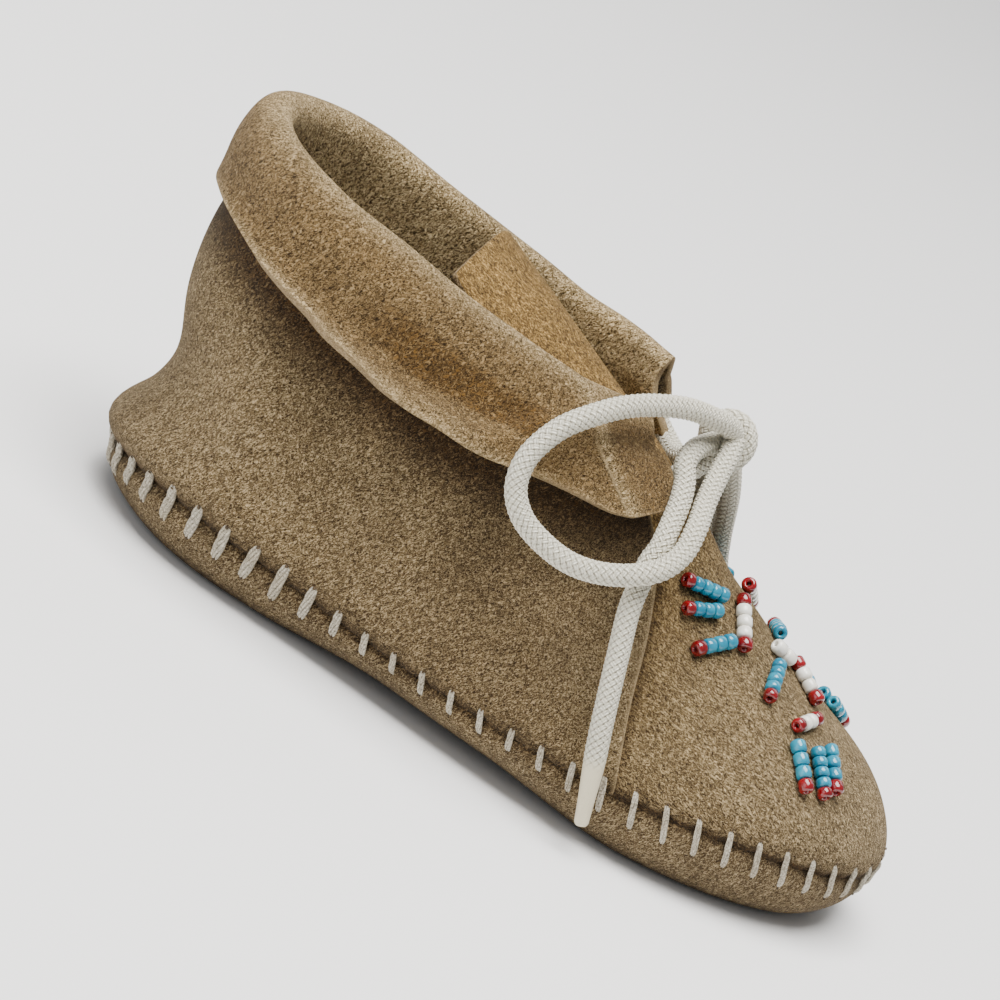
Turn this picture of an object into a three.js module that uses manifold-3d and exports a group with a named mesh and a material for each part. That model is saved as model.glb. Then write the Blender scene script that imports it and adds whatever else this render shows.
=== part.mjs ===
import * as THREE from 'three';
import { mergeVertices } from 'three/addons/utils/BufferGeometryUtils.js';
import Module from 'manifold-3d';

// A baby's soft moccasin standing on its sole. Millimetres: X to the toe, Y to the wearer's left, Z up.
const wasm = await Module();
wasm.setup();

// Foot outline at the seam
const heelBack = -62;
const heelCentre = -36;
const heelHalf = 25;
const ballCentre = 19;
const ballHalf = 31.5;
const toeTip = 63;

// Sole tray
const soleWall = 1.5;
const edgeRound = 8;
const waistTuck = 4;
const archRise = 1.2;
const toeSpring = 0.4;
const insoleThick = 1.6;
const clearance = 0.3;

// Upper
const wall = 1.5;
const lapStep = 1.2;
const throat = 8;
const tongueBack = -30;

// From the middle of the foot to the middle of the whole shoe
const middleShift = 3.1;

// Cuff and lace
const foldRadius = 2.8;
const cuffThick = 1.3;
const laceRadius = 1.55;
const knotAt = new THREE.Vector3(12, 0, 52.5);
const knotRadius = 4.4;

// Beads
const beadRadius = 1.1;
const beadPitch = 1.6;

// Height of the seam over the floor
const seamRun = [
  { station: -62, height: 8 },
  { station: -15, height: 7.6 },
  { station: 20, height: 8.8 },
  { station: 46, height: 10.6 },
  { station: 63, height: 10.2 },
];

// Vamp sections: height of the crown, and how square the side and the ridge are
const vampSections = [
  { station: 8, crown: 44.6, side: 0.22, ridge: 0.22 },
  { station: 16, crown: 40.3, side: 0.23, ridge: 0.22 },
  { station: 25, crown: 35, side: 0.25, ridge: 0.24 },
  { station: 36, crown: 30.6, side: 0.36, ridge: 0.38 },
  { station: 48, crown: 28, side: 0.56, ridge: 0.5 },
  { station: 63, crown: 27.6, side: 0.56, ridge: 0.54 },
];

// Quarter levels from the seam to the collar
const quarterLevels = [
  { rise: 0, back: -62, centre: -36, backHalf: 25, midHalf: 28.4, front: 24, frontHalf: 31.3 },
  { rise: 0.24, back: -62.4, centre: -37, backHalf: 25.8, midHalf: 28.2, front: 19.5, frontHalf: 27 },
  { rise: 0.5, back: -64.3, centre: -40, backHalf: 23.2, midHalf: 24.4, front: 14.5, frontHalf: 17 },
  { rise: 0.76, back: -64.7, centre: -43, backHalf: 20.6, midHalf: 21, front: 9.5, frontHalf: 15.2 },
  { rise: 1, back: -63.7, centre: -45.5, backHalf: 19.2, midHalf: 19.2, front: 5, frontHalf: 14.6 },
];

// Collar edge and cuff, from the middle of the heel to the front mouth
const collarRun = [
  { share: 0, height: 56, drop: 9.2, stand: 4.4, bell: 1, ahead: 0 },
  { share: 0.34, height: 53.3, drop: 12.2, stand: 5.4, bell: 1.2, ahead: 0 },
  { share: 0.66, height: 50.4, drop: 12.4, stand: 6.6, bell: 1.8, ahead: 1 },
  { share: 1, height: 48.2, drop: 6.8, stand: 7, bell: 1.5, ahead: 2.4 },
];

// Tongue sections
const tongueSections = [
  { station: -30, ridge: 60.4, half: 15.4, fall: 4.4 },
  { station: -18, ridge: 55.7, half: 15.2, fall: 5.2 },
  { station: -5, ridge: 50.3, half: 13, fall: 5.8 },
  { station: 2, ridge: 47.2, half: 12, fall: 6.8 },
  { station: 8, ridge: 44.5, half: 11.6, fall: 8.4 },
];

// Bow of the lace, from the knot
const loopRight = [
  { x: 11.2, y: -4.8, z: 55.1 },
  { x: 8.8, y: -8.4, z: 55.9 },
  { x: 4.8, y: -13.5, z: 56.4 },
  { x: -1.2, y: -21, z: 55 },
  { x: -4.9, y: -26, z: 52.7 },
  { x: -8.3, y: -30, z: 48.9 },
  { x: -9.8, y: -32.5, z: 44 },
  { x: -8.9, y: -33.5, z: 40 },
  { x: -6.2, y: -33.9, z: 37.2 },
  { x: -2, y: -33.8, z: 35.6 },
  { x: 3, y: -33.3, z: 35.1 },
  { x: 8.2, y: -32, z: 36.4 },
  { x: 13, y: -29.2, z: 39.2 },
  { x: 14.8, y: -25, z: 41.8 },
  { x: 14.7, y: -20.5, z: 44.5 },
  { x: 14, y: -15, z: 46.8 },
  { x: 13.6, y: -9.8, z: 49.3 },
  { x: 13.4, y: -5.4, z: 51.6 },
];
const endRight = [
  { x: 9.8, y: -5.3, z: 51.1 },
  { x: 8.9, y: -8.8, z: 50.6 },
  { x: 8.8, y: -12.6, z: 49.3 },
  { x: 10.1, y: -15.4, z: 47.7 },
  { x: 10.9, y: -18, z: 46 },
  { x: 11.3, y: -20.3, z: 44.3 },
  { x: 11.6, y: -22.6, z: 42.6 },
  { x: 11.8, y: -24.3, z: 40.8 },
  { x: 11.6, y: -25.6, z: 38.7 },
  { x: 12, y: -27.2, z: 36 },
  { x: 12.6, y: -29, z: 32.8 },
  { x: 14.6, y: -31.2, z: 27 },
  { x: 16.7, y: -33, z: 21.1 },
  { x: 18.4, y: -33.9, z: 16.4 },
  { x: 20.2, y: -34.4, z: 11.6 },
  { x: 22.7, y: -34.6, z: 4.4 },
];
const loopLeft = [
  { x: 12.9, y: 5.2, z: 52 },
  { x: 13.7, y: 8.8, z: 49.8 },
  { x: 14.6, y: 12.2, z: 45.4 },
  { x: 15.8, y: 17.2, z: 39 },
  { x: 16.8, y: 22.6, z: 31 },
  { x: 17.8, y: 26.6, z: 24.6 },
  { x: 18.6, y: 29.6, z: 19 },
  { x: 19.7, y: 31.6, z: 15.6 },
  { x: 22.5, y: 33, z: 13 },
  { x: 26.5, y: 33.5, z: 12.1 },
  { x: 30.5, y: 32.8, z: 12.9 },
  { x: 33.3, y: 31.1, z: 15.5 },
  { x: 34.2, y: 29.5, z: 18.1 },
  { x: 33.6, y: 27.9, z: 20.4 },
  { x: 31.6, y: 26.5, z: 22.2 },
  { x: 28.4, y: 25, z: 23.6 },
  { x: 24.8, y: 23.2, z: 25.2 },
  { x: 21.6, y: 20.4, z: 29 },
  { x: 19.2, y: 16.4, z: 34.8 },
  { x: 16.8, y: 10.4, z: 42.6 },
  { x: 14.2, y: 4.8, z: 48.6 },
];
const endLeft = [
  { x: 9.6, y: 5.2, z: 51.1 },
  { x: 9.4, y: 8.6, z: 49.9 },
  { x: 9.9, y: 11.6, z: 47.9 },
  { x: 10.8, y: 14.4, z: 45.5 },
  { x: 11.6, y: 17, z: 43.1 },
  { x: 12.4, y: 19.6, z: 40.2 },
  { x: 13, y: 21.8, z: 36.8 },
  { x: 13.8, y: 24.2, z: 32.5 },
  { x: 14.4, y: 26.4, z: 28 },
  { x: 15.1, y: 28.8, z: 23 },
  { x: 15.8, y: 31, z: 18 },
  { x: 16.5, y: 32.7, z: 13.8 },
  { x: 17.2, y: 33.8, z: 9.8 },
  { x: 18, y: 34.2, z: 7 },
  { x: 18.8, y: 34.4, z: 4.2 },
];

// Bead rows on the vamp, from their inner to their outer ends
const turquoise = 0x3fa9b8;
const white = 0xf1ece0;
const beadRows = [
  { name: 'heel_right_1', x: 22.6, y: -5.8, endX: 17.4, endY: -9.8, color: turquoise },
  { name: 'heel_right_2', x: 23.1, y: -8.2, endX: 19.5, endY: -11.9, color: turquoise },
  { name: 'heel_right_3', x: 27.1, y: -10, endX: 23.8, endY: -14.2, color: turquoise },
  { name: 'heel_left_1', x: 22.2, y: 10, endX: 18.2, endY: 13.6, color: turquoise },
  { name: 'heel_left_2', x: 24, y: 12.2, endX: 20.4, endY: 15.8, color: turquoise },
  { name: 'heel_left_3', x: 27.6, y: 12.4, endX: 24.4, endY: 16.6, color: turquoise },
  { name: 'heel_arc_right', x: 25.8, y: -2.9, endX: 29, endY: -8.5, color: white },
  { name: 'heel_arc_left', x: 25.6, y: 3.6, endX: 27.4, endY: 10, color: white },
  { name: 'middle_right', x: 34.8, y: -5.2, endX: 35.7, endY: -11.3, color: turquoise },
  { name: 'middle_left', x: 32.6, y: 1.6, endX: 31.8, endY: 8.4, color: turquoise },
  { name: 'centre', x: 33.6, y: -2, endX: 35.4, endY: -1, color: white },
  { name: 'toe_arc_right', x: 43.2, y: -6.4, endX: 41.3, endY: -11, color: white },
  { name: 'toe_arc_left', x: 41.8, y: -1.6, endX: 37.2, endY: 1.2, color: white },
  { name: 'toe_right_1', x: 42.7, y: -14.1, endX: 46.2, endY: -17.8, color: turquoise },
  { name: 'toe_right_2', x: 45.5, y: -11.6, endX: 49.1, endY: -15.7, color: turquoise },
  { name: 'toe_right_3', x: 47.2, y: -8.5, endX: 50.1, endY: -13, color: turquoise },
  { name: 'toe_left_1', x: 41.2, y: 17.6, endX: 43.6, endY: 21.4, color: turquoise },
  { name: 'toe_left_2', x: 43.8, y: 15.4, endX: 46.4, endY: 19.4, color: turquoise },
  { name: 'toe_left_3', x: 45.6, y: 13, endX: 48.2, endY: 17, color: turquoise },
];

function ease(t) {
  const k = Math.min(1, Math.max(0, t));
  return k * k * (3 - 2 * k);
}

// A column of a table at a place between its rows, as a smooth curve.
function between(rows, axis, column, at) {
  const last = rows.length - 1;
  let i = 0;
  while (i < last - 1 && at > rows[i + 1][axis]) {
    i += 1;
  }
  const slope = (k) => {
    const a = rows[Math.max(0, k - 1)];
    const b = rows[Math.min(last, k + 1)];
    return (b[column] - a[column]) / (b[axis] - a[axis]);
  };
  const width = rows[i + 1][axis] - rows[i][axis];
  const t = Math.min(1, Math.max(0, (at - rows[i][axis]) / width));
  const start = rows[i][column] * (1 + 2 * t) * (1 - t) ** 2 + rows[i + 1][column] * t * t * (3 - 2 * t);
  return start + slope(i) * width * t * (1 - t) ** 2 + slope(i + 1) * width * t * t * (t - 1);
}

// Half width of the foot outline at a station.
function outlineHalf(x) {
  if (x < heelCentre) {
    return heelHalf * Math.sqrt(Math.max(0, 1 - ((heelCentre - x) / (heelCentre - heelBack)) ** 2));
  }
  if (x < ballCentre) {
    return heelHalf + (ballHalf - heelHalf) * ease((x - heelCentre) / (ballCentre - heelCentre));
  }
  return ballHalf * Math.sqrt(Math.max(0, 1 - ((x - ballCentre) / (toeTip - ballCentre)) ** 2));
}

// Point of the outline from the heel (0) to the toe (1) on the +Y side, moved in by inset.
function outlinePoint(share, inset) {
  const heelEnd = 0.26;
  const sideEnd = 0.6;
  let x;
  let y;
  let nx = 0;
  let ny = 1;
  if (share < heelEnd) {
    const angle = (share / heelEnd) * Math.PI / 2;
    x = heelCentre - (heelCentre - heelBack) * Math.cos(angle);
    y = heelHalf * Math.sin(angle);
    nx = -Math.cos(angle) * heelHalf;
    ny = Math.sin(angle) * (heelCentre - heelBack);
  } else if (share < sideEnd) {
    x = heelCentre + (ballCentre - heelCentre) * (share - heelEnd) / (sideEnd - heelEnd);
    y = outlineHalf(x);
    nx = -(outlineHalf(x + 0.01) - outlineHalf(x - 0.01)) / 0.02;
  } else {
    const angle = ((share - sideEnd) / (1 - sideEnd)) * Math.PI / 2;
    x = ballCentre + (toeTip - ballCentre) * Math.sin(angle);
    y = ballHalf * Math.cos(angle);
    nx = Math.sin(angle) * ballHalf;
    ny = Math.cos(angle) * (toeTip - ballCentre);
  }
  const size = Math.hypot(nx, ny);
  return [x - inset * nx / size, y - inset * ny / size];
}

// The waist of the foot, between heel and ball.
function waistAt(x) {
  return ease((x + 32) / 22) * ease((30 - x) / 24);
}

function seamAt(x) {
  return between(seamRun, 'station', 'height', x);
}

// How far the underside lifts off the floor at the arch and the toe.
function lift(x) {
  return archRise * waistAt(x) + toeSpring * Math.max(0, (x - 44) / 19) ** 2;
}

function triangulated(points, faces) {
  const geometry = new THREE.BufferGeometry();
  geometry.setAttribute('position', new THREE.Float32BufferAttribute(points.flat(), 3));
  geometry.setIndex(faces.flat());
  const merged = mergeVertices(geometry, 1e-3);
  const kept = [];
  const index = merged.index.array;
  for (let i = 0; i < index.length; i += 3) {
    const [a, b, c] = [index[i], index[i + 1], index[i + 2]];
    if (a !== b && b !== c && c !== a) {
      kept.push(a, b, c);
    }
  }
  merged.setIndex(kept);
  return merged;
}

function solidFrom(geometry) {
  const plain = geometry.clone();
  plain.deleteAttribute('normal');
  plain.deleteAttribute('uv');
  const merged = mergeVertices(plain, 1e-4);
  const vertProperties = new Float32Array(merged.attributes.position.array);
  const triVerts = new Uint32Array(merged.index.array);
  return new wasm.Manifold(new wasm.Mesh({ numProp: 3, vertProperties, triVerts }));
}

function geometryFrom(solid) {
  const mesh = solid.getMesh();
  const geometry = new THREE.BufferGeometry();
  geometry.setAttribute('position', new THREE.BufferAttribute(new Float32Array(mesh.vertProperties), 3));
  geometry.setIndex(new THREE.BufferAttribute(new Uint32Array(mesh.triVerts), 1));
  return geometry;
}

// A closed shell between an outer and an inner surface over the same grid.
function shell(outer, inner, columns, rows) {
  const points = [];
  const faces = [];
  const across = rows + 1;
  const layer = (columns + 1) * across;
  for (const surface of [outer, inner]) {
    for (let i = 0; i <= columns; i += 1) {
      for (let j = 0; j <= rows; j += 1) {
        points.push(surface(i / columns, j / rows));
      }
    }
  }
  const quad = (a, b, c, d) => faces.push([a, b, c], [a, c, d]);
  for (let i = 0; i < columns; i += 1) {
    for (let j = 0; j < rows; j += 1) {
      const a = i * across + j;
      const b = a + across;
      quad(a, b, b + 1, a + 1);
      quad(layer + a, layer + a + 1, layer + b + 1, layer + b);
    }
  }
  for (let i = 0; i < columns; i += 1) {
    const a = i * across;
    const b = a + across;
    quad(layer + a, layer + b, b, a);
    quad(a + rows, b + rows, layer + b + rows, layer + a + rows);
  }
  for (let j = 0; j < rows; j += 1) {
    const end = columns * across;
    quad(j, j + 1, layer + j + 1, layer + j);
    quad(end + j + 1, end + j, layer + end + j, layer + end + j + 1);
  }
  return triangulated(points, faces);
}

// A closed body of rings round the foot; the first and last rings are filled across.
function ringBody(rings, steps) {
  const points = [];
  const faces = [];
  const around = 2 * steps;
  for (const ring of rings) {
    for (let k = 0; k < around; k += 1) {
      const right = k > steps;
      const [x, y, z] = ring((right ? around - k : k) / steps);
      points.push([x, right ? -y : y, z]);
    }
  }
  for (let r = 0; r < rings.length - 1; r += 1) {
    for (let k = 0; k < around; k += 1) {
      const a = r * around + k;
      const b = r * around + (k + 1) % around;
      faces.push([a, a + around, b], [b, a + around, b + around]);
    }
  }
  const top = (rings.length - 1) * around;
  for (let k = 0; k < steps; k += 1) {
    const m = (around - k) % around;
    const n = around - k - 1;
    faces.push([k, k + 1, n], [k, n, m]);
    faces.push([top + k, top + n, top + k + 1], [top + k, top + m, top + n]);
  }
  return triangulated(points, faces);
}

// Sole: turned-up edge outside, tray inside
function soleRing(turn, inside) {
  return (share) => {
    const sway = 1 - Math.cos(turn);
    const depth = inside ? soleWall : 0;
    const station = outlinePoint(share, 0)[0];
    const round = edgeRound + waistTuck * waistAt(station);
    const [x, y] = outlinePoint(share, depth + (round - depth) * sway);
    const seam = seamAt(station);
    const low = depth + (seam - depth) * (1 - Math.sin(turn));
    return [x, y, low + lift(x) * (1 - low / seam)];
  };
}
const soleTurns = [90, 72, 54, 36, 18, 0].map((degrees) => degrees * Math.PI / 180);
const soleRings = soleTurns.map((turn) => soleRing(turn, false));
const trayRings = soleTurns.map((turn) => soleRing(turn, true)).reverse();
const soleGeometry = ringBody([...soleRings, ...trayRings], 32);

function insoleRing(inset, height) {
  return (share) => {
    const tuck = waistTuck * waistAt(outlinePoint(share, 0)[0]);
    const [x, y] = outlinePoint(share, inset + tuck);
    return [x, y, height + lift(x)];
  };
}
const insoleLow = soleWall + clearance;
const insoleInset = edgeRound - 1;
const insoleGeometry = ringBody([
  insoleRing(insoleInset, insoleLow),
  insoleRing(insoleInset, insoleLow + insoleThick),
], 32);

// Vamp: an arch over the foot at each station, from seam to seam
function upperFoot(x) {
  return seamAt(x) + clearance;
}

function vampArch(x) {
  const past = Math.max(0, (x - ballCentre) / (toeTip - ballCentre));
  const close = Math.sqrt(Math.max(0, 1 - past * past));
  const half = outlineHalf(x);
  const foot = upperFoot(x);
  const dome = (between(vampSections, 'station', 'crown', x) - foot) * close;
  const side = between(vampSections, 'station', 'side', x);
  const ridge = between(vampSections, 'station', 'ridge', x);
  return new THREE.CubicBezierCurve(
    new THREE.Vector2(half, foot),
    new THREE.Vector2(half, foot + side * dome),
    new THREE.Vector2(ridge * half, foot + dome),
    new THREE.Vector2(0, foot + dome),
  );
}

function vampPoint(x, arch) {
  const t = Math.min(1, 2 * Math.min(arch, 1 - arch));
  const at = vampArch(x).getPoint(t);
  return new THREE.Vector3(x, arch < 0.5 ? -at.x : at.x, at.y);
}

// Half width of the vamp at a station and a height.
function vampHalf(x, z) {
  const arch = vampArch(x);
  let low = 0;
  let high = 1;
  for (let k = 0; k < 40; k += 1) {
    const middle = (low + high) / 2;
    if (arch.getPoint(middle).y < z) {
      low = middle;
    } else {
      high = middle;
    }
  }
  return arch.getPoint(low).x;
}

function vampStation(share) {
  const straight = 0.2;
  if (share < straight) {
    return throat + (ballCentre - throat) * share / straight;
  }
  return ballCentre + (toeTip - ballCentre) * Math.sin((share - straight) / (1 - straight) * Math.PI / 2);
}

function vampNormal(share, arch) {
  const step = 0.002;
  const a = Math.min(1 - 2 * step, Math.max(step, share));
  const b = Math.min(1 - step, Math.max(step, arch));
  const alongVamp = vampPoint(vampStation(a + step), b).sub(vampPoint(vampStation(a - step), b));
  const overVamp = vampPoint(vampStation(a), b + step).sub(vampPoint(vampStation(a), b - step));
  return alongVamp.cross(overVamp).normalize();
}

function vampOuter(u, v) {
  return vampPoint(vampStation(u), v).toArray();
}

function vampInner(u, v) {
  const normal = u === 1 ? new THREE.Vector3(1, 0, 0) : vampNormal(u, v);
  if (v === 0 || v === 1) {
    normal.z = 0;
  }
  if (u === 0) {
    normal.x = 0;
  }
  normal.normalize();
  return vampPoint(vampStation(u), v).addScaledVector(normal, -wall).toArray();
}

// Quarters: a wall round the heel from the right front edge to the left one
function collarHeight(share) {
  return between(collarRun, 'share', 'height', share);
}

const heelShare = 0.36;

function levelPoint(level, share) {
  if (share < heelShare) {
    const angle = (share / heelShare) * Math.PI / 2;
    return [level.centre - (level.centre - level.back) * Math.cos(angle), level.backHalf * Math.sin(angle)];
  }
  const f = (share - heelShare) / (1 - heelShare);
  const x = level.centre + (level.front - level.centre) * f;
  if (level.rise === 0) {
    return [x, outlineHalf(x)];
  }
  const grow = level.edgeHalf - level.backHalf;
  const square = 8 * (level.midHalf - level.backHalf) - grow;
  return [x, level.backHalf + square * f * f + (grow - square) * f ** 3];
}

const frontLevels = quarterLevels.map((level) => {
  const foot = upperFoot(quarterLevels[0].front);
  const height = foot + level.rise * (collarHeight(1) - foot);
  const onVamp = vampHalf(level.front, height) + lapStep;
  return { ...level, edgeHalf: level.rise < 0.6 ? onVamp : level.frontHalf };
});

function quarterPoint(share, rise) {
  const reach = Math.abs(share);
  const rows = frontLevels.map((level) => {
    const [x, y] = levelPoint(level, reach);
    return { rise: level.rise, x, y };
  });
  const x = between(rows, 'rise', 'x', rise);
  const y = between(rows, 'rise', 'y', rise);
  const foot = upperFoot(rows[0].x);
  return new THREE.Vector3(x, share < 0 ? -y : y, foot + rise * (collarHeight(reach) - foot));
}

// Level outward direction of the quarter's wall.
function quarterOut(share, rise) {
  const step = 0.004;
  const a = quarterPoint(Math.max(-1, share - step), rise);
  const b = quarterPoint(Math.min(1, share + step), rise);
  return new THREE.Vector3(a.y - b.y, b.x - a.x, 0).multiplyScalar(1).normalize();
}

function quarterOuter(u, v) {
  return quarterPoint(1 - 2 * u, v).toArray();
}

function quarterInner(u, v) {
  const share = 1 - 2 * u;
  return quarterPoint(share, v).addScaledVector(quarterOut(share, v), -wall).toArray();
}

const vampSolid = solidFrom(shell(vampOuter, vampInner, 15, 20));
const quarterSolid = solidFrom(shell(quarterOuter, quarterInner, 40, 8));
const upperGeometry = geometryFrom(vampSolid.add(quarterSolid));

// Tongue: a bowed strip with rounded top corners
function tongueAt(u, v) {
  const x = throat - clearance + (tongueBack - throat + clearance) * u;
  const half = between(tongueSections, 'station', 'half', x);
  const near = Math.min(1, Math.max(0, (x - tongueBack) / 7));
  const corner = 0.72 + 0.28 * Math.sqrt(1 - (1 - near) ** 2);
  const reach = (2 * v - 1) * corner;
  const fall = between(tongueSections, 'station', 'fall', x);
  const z = between(tongueSections, 'station', 'ridge', x) - fall * Math.abs(reach) ** 1.6;
  return new THREE.Vector3(x, reach * half, z);
}

function tongueUnder(u, v) {
  const under = tongueAt(u, v);
  const step = 0.01;
  const a = tongueAt(u, Math.max(0, v - step));
  const b = tongueAt(u, Math.min(1, v + step));
  const side = b.sub(a).normalize();
  under.y += cuffThick * side.z;
  under.z -= cuffThick * side.y;
  return under.toArray();
}
const tongueGeometry = shell((u, v) => tongueAt(u, 1 - v).toArray(), (u, v) => tongueUnder(u, 1 - v), 10, 10);

// Cuff: folded over the collar edge and hanging outside it
function cuffLine(share) {
  const reach = Math.abs(share);
  const out = quarterOut(share, 1);
  const edge = quarterPoint(share, 1).addScaledVector(out, -wall / 2);
  edge.z += clearance + 0.05;
  const drop = between(collarRun, 'share', 'drop', reach);
  const bell = between(collarRun, 'share', 'bell', reach);
  const rimHeight = edge.z + 0.6 - drop;
  const foot = quarterPoint(share, 0).z;
  const rise = (rimHeight - foot) / (collarHeight(reach) - foot);
  const wallOut = quarterPoint(share, rise).sub(edge).dot(out);
  const rimOut = wallOut + between(collarRun, 'share', 'stand', reach) - cuffThick / 2;
  const ahead = between(collarRun, 'share', 'ahead', reach);
  return { out, edge, drop, bell, rimOut, ahead };
}

function cuffProfile(line, v) {
  const foldShare = 0.45;
  if (v < foldShare) {
    const turn = Math.max(0, (v - 0.05) / (foldShare - 0.05)) * Math.PI;
    const low = v < 0.05 ? 0.6 * v / 0.05 : 0.6;
    return [foldRadius * (1 - Math.cos(turn)), low + foldRadius * Math.sin(turn)];
  }
  const q = (v - foldShare) / (1 - foldShare);
  const sweep = q ** line.bell;
  return [2 * foldRadius + (line.rimOut - 2 * foldRadius) * sweep, 0.6 - line.drop * q];
}

function cuffPoint(u, v, side) {
  const share = 1 - 2 * u;
  const line = cuffLine(share);
  const [n, z] = cuffProfile(line, v);
  const [n0, z0] = cuffProfile(line, Math.max(0, v - 0.01));
  const [n1, z1] = cuffProfile(line, Math.min(1, v + 0.01));
  const size = Math.hypot(n1 - n0, z1 - z0);
  const offN = -(z1 - z0) / size * side * cuffThick / 2;
  const offZ = (n1 - n0) / size * side * cuffThick / 2;
  const at = line.edge.clone().addScaledVector(line.out, n + offN);
  at.z += z + offZ;
  at.x += line.ahead * Math.max(0, (v - 0.45) / 0.55);
  return at.toArray();
}
const cuffSteps = [0, 0.05, 0.15, 0.25, 0.35, 0.45, 0.6, 0.75, 0.88, 1];
const cuffStep = (v) => cuffSteps[Math.round(v * (cuffSteps.length - 1))];
const cuffGeometry = shell(
  (u, v) => cuffPoint(u, cuffStep(v), -1),
  (u, v) => cuffPoint(u, cuffStep(v), 1),
  40,
  cuffSteps.length - 1,
);

// Lace
function cordGeometry(points, steps, radius) {
  const shape = new THREE.Shape();
  for (let k = 0; k < 8; k += 1) {
    const angle = k * Math.PI / 4;
    const place = [radius * Math.cos(angle), radius * Math.sin(angle)];
    if (k === 0) {
      shape.moveTo(...place);
    } else {
      shape.lineTo(...place);
    }
  }
  const path = new THREE.CatmullRomCurve3(points.map((p) => new THREE.Vector3(p.x, p.y, p.z)));
  return new THREE.ExtrudeGeometry(shape, { steps, extrudePath: path, bevelEnabled: false });
}

function laceSeat(share) {
  const line = cuffLine(share);
  const seat = line.edge.clone().addScaledVector(line.out, foldRadius);
  seat.z += 0.6;
  return seat;
}
const laceBar = [
  { x: 7, y: 15.6, z: 50 },
  { x: 6.4, y: 11.6, z: 52.6 },
  { x: 6.4, y: 7, z: 53.7 },
  { x: 7.4, y: 3, z: 53.4 },
];
const runPoints = [];
for (const row of [...laceBar].reverse()) {
  runPoints.push({ ...row, y: -row.y });
}
for (let k = 0; k <= 32; k += 1) {
  runPoints.push(laceSeat(-1 + k / 16));
}
runPoints.push(...laceBar);
const runGeometry = cordGeometry(runPoints, 52, laceRadius);

const knotGeometry = new THREE.SphereGeometry(knotRadius, 14, 10);
knotGeometry.scale(0.85, 0.95, 1);
knotGeometry.translate(knotAt.x, knotAt.y, knotAt.z);

// Beads: each row is one turned bar of beads lying on the vamp
function vampSurface(x, y) {
  const arch = vampArch(x);
  let low = 0;
  let high = 1;
  for (let k = 0; k < 40; k += 1) {
    const middle = (low + high) / 2;
    if (arch.getPoint(middle).x > Math.abs(y)) {
      low = middle;
    } else {
      high = middle;
    }
  }
  return new THREE.Vector3(x, y, arch.getPoint(low).y);
}

function vampUp(x, y) {
  const alongVamp = vampSurface(x + 0.5, y).sub(vampSurface(x - 0.5, y));
  const acrossVamp = vampSurface(x, y + 0.5).sub(vampSurface(x, y - 0.5));
  return alongVamp.cross(acrossVamp).normalize();
}

function beadBar(start, end, out) {
  const length = start.distanceTo(end);
  const count = Math.max(2, Math.round(length / beadPitch) + 1);
  const pitch = length / (count - 1);
  const profile = [new THREE.Vector2(0, -pitch / 2)];
  for (let k = 0; k < count; k += 1) {
    const low = (k - 0.5) * pitch;
    profile.push(new THREE.Vector2(0.62 * beadRadius, low));
    profile.push(new THREE.Vector2(beadRadius, low + pitch / 2));
  }
  profile.push(new THREE.Vector2(0.62 * beadRadius, length + pitch / 2));
  profile.push(new THREE.Vector2(0, length + pitch / 2));
  const geometry = new THREE.LatheGeometry(profile, 6);
  const axis = end.clone().sub(start).normalize();
  const turn = new THREE.Quaternion().setFromUnitVectors(new THREE.Vector3(0, 1, 0), axis);
  geometry.applyQuaternion(turn);
  const seat = start.clone().addScaledVector(out, beadRadius + 0.1);
  geometry.translate(seat.x, seat.y, seat.z);
  return geometry;
}

const shoe = new THREE.Group();
shoe.name = 'baby_moccasin';

function place(name, geometry, color, roughness) {
  const material = new THREE.MeshStandardMaterial({ color, roughness, metalness: 0 });
  const mesh = new THREE.Mesh(geometry, material);
  mesh.name = name;
  mesh.position.x = middleShift;
  shoe.add(mesh);
}

place('sole', soleGeometry, 0xb98a58, 0.95);
place('insole', insoleGeometry, 0xc29a6c, 0.95);
place('upper', upperGeometry, 0xc08c54, 0.95);
place('tongue', tongueGeometry, 0xb4782f, 0.95);
place('cuff', cuffGeometry, 0xc59560, 0.95);
place('lace_run', runGeometry, 0xe6ddcc, 0.8);
place('lace_knot', knotGeometry, 0xe6ddcc, 0.8);
place('lace_loop_right', cordGeometry(loopRight, 26, laceRadius), 0xe6ddcc, 0.8);
place('lace_loop_left', cordGeometry(loopLeft, 28, laceRadius), 0xe6ddcc, 0.8);
place('lace_end_right', cordGeometry(endRight, 18, laceRadius), 0xe6ddcc, 0.8);
place('lace_end_left', cordGeometry(endLeft, 18, laceRadius), 0xe6ddcc, 0.8);

for (const row of beadRows) {
  const start = vampSurface(row.x, row.y);
  const end = vampSurface(row.endX, row.endY);
  const middle = start.clone().add(end).multiplyScalar(0.5);
  const out = vampUp(middle.x, middle.y);
  const bulge = Math.max(0, vampSurface(middle.x, middle.y).sub(middle).dot(out));
  const bar = beadBar(start.addScaledVector(out, bulge), end.addScaledVector(out, bulge), out);
  place('beads_' + row.name, bar, row.color, 0.2);
}

export default shoe;
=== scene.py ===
import math
import random

import bmesh
import bpy
from mathutils import Matrix, Vector, noise
from mathutils.bvhtree import BVHTree


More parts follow.
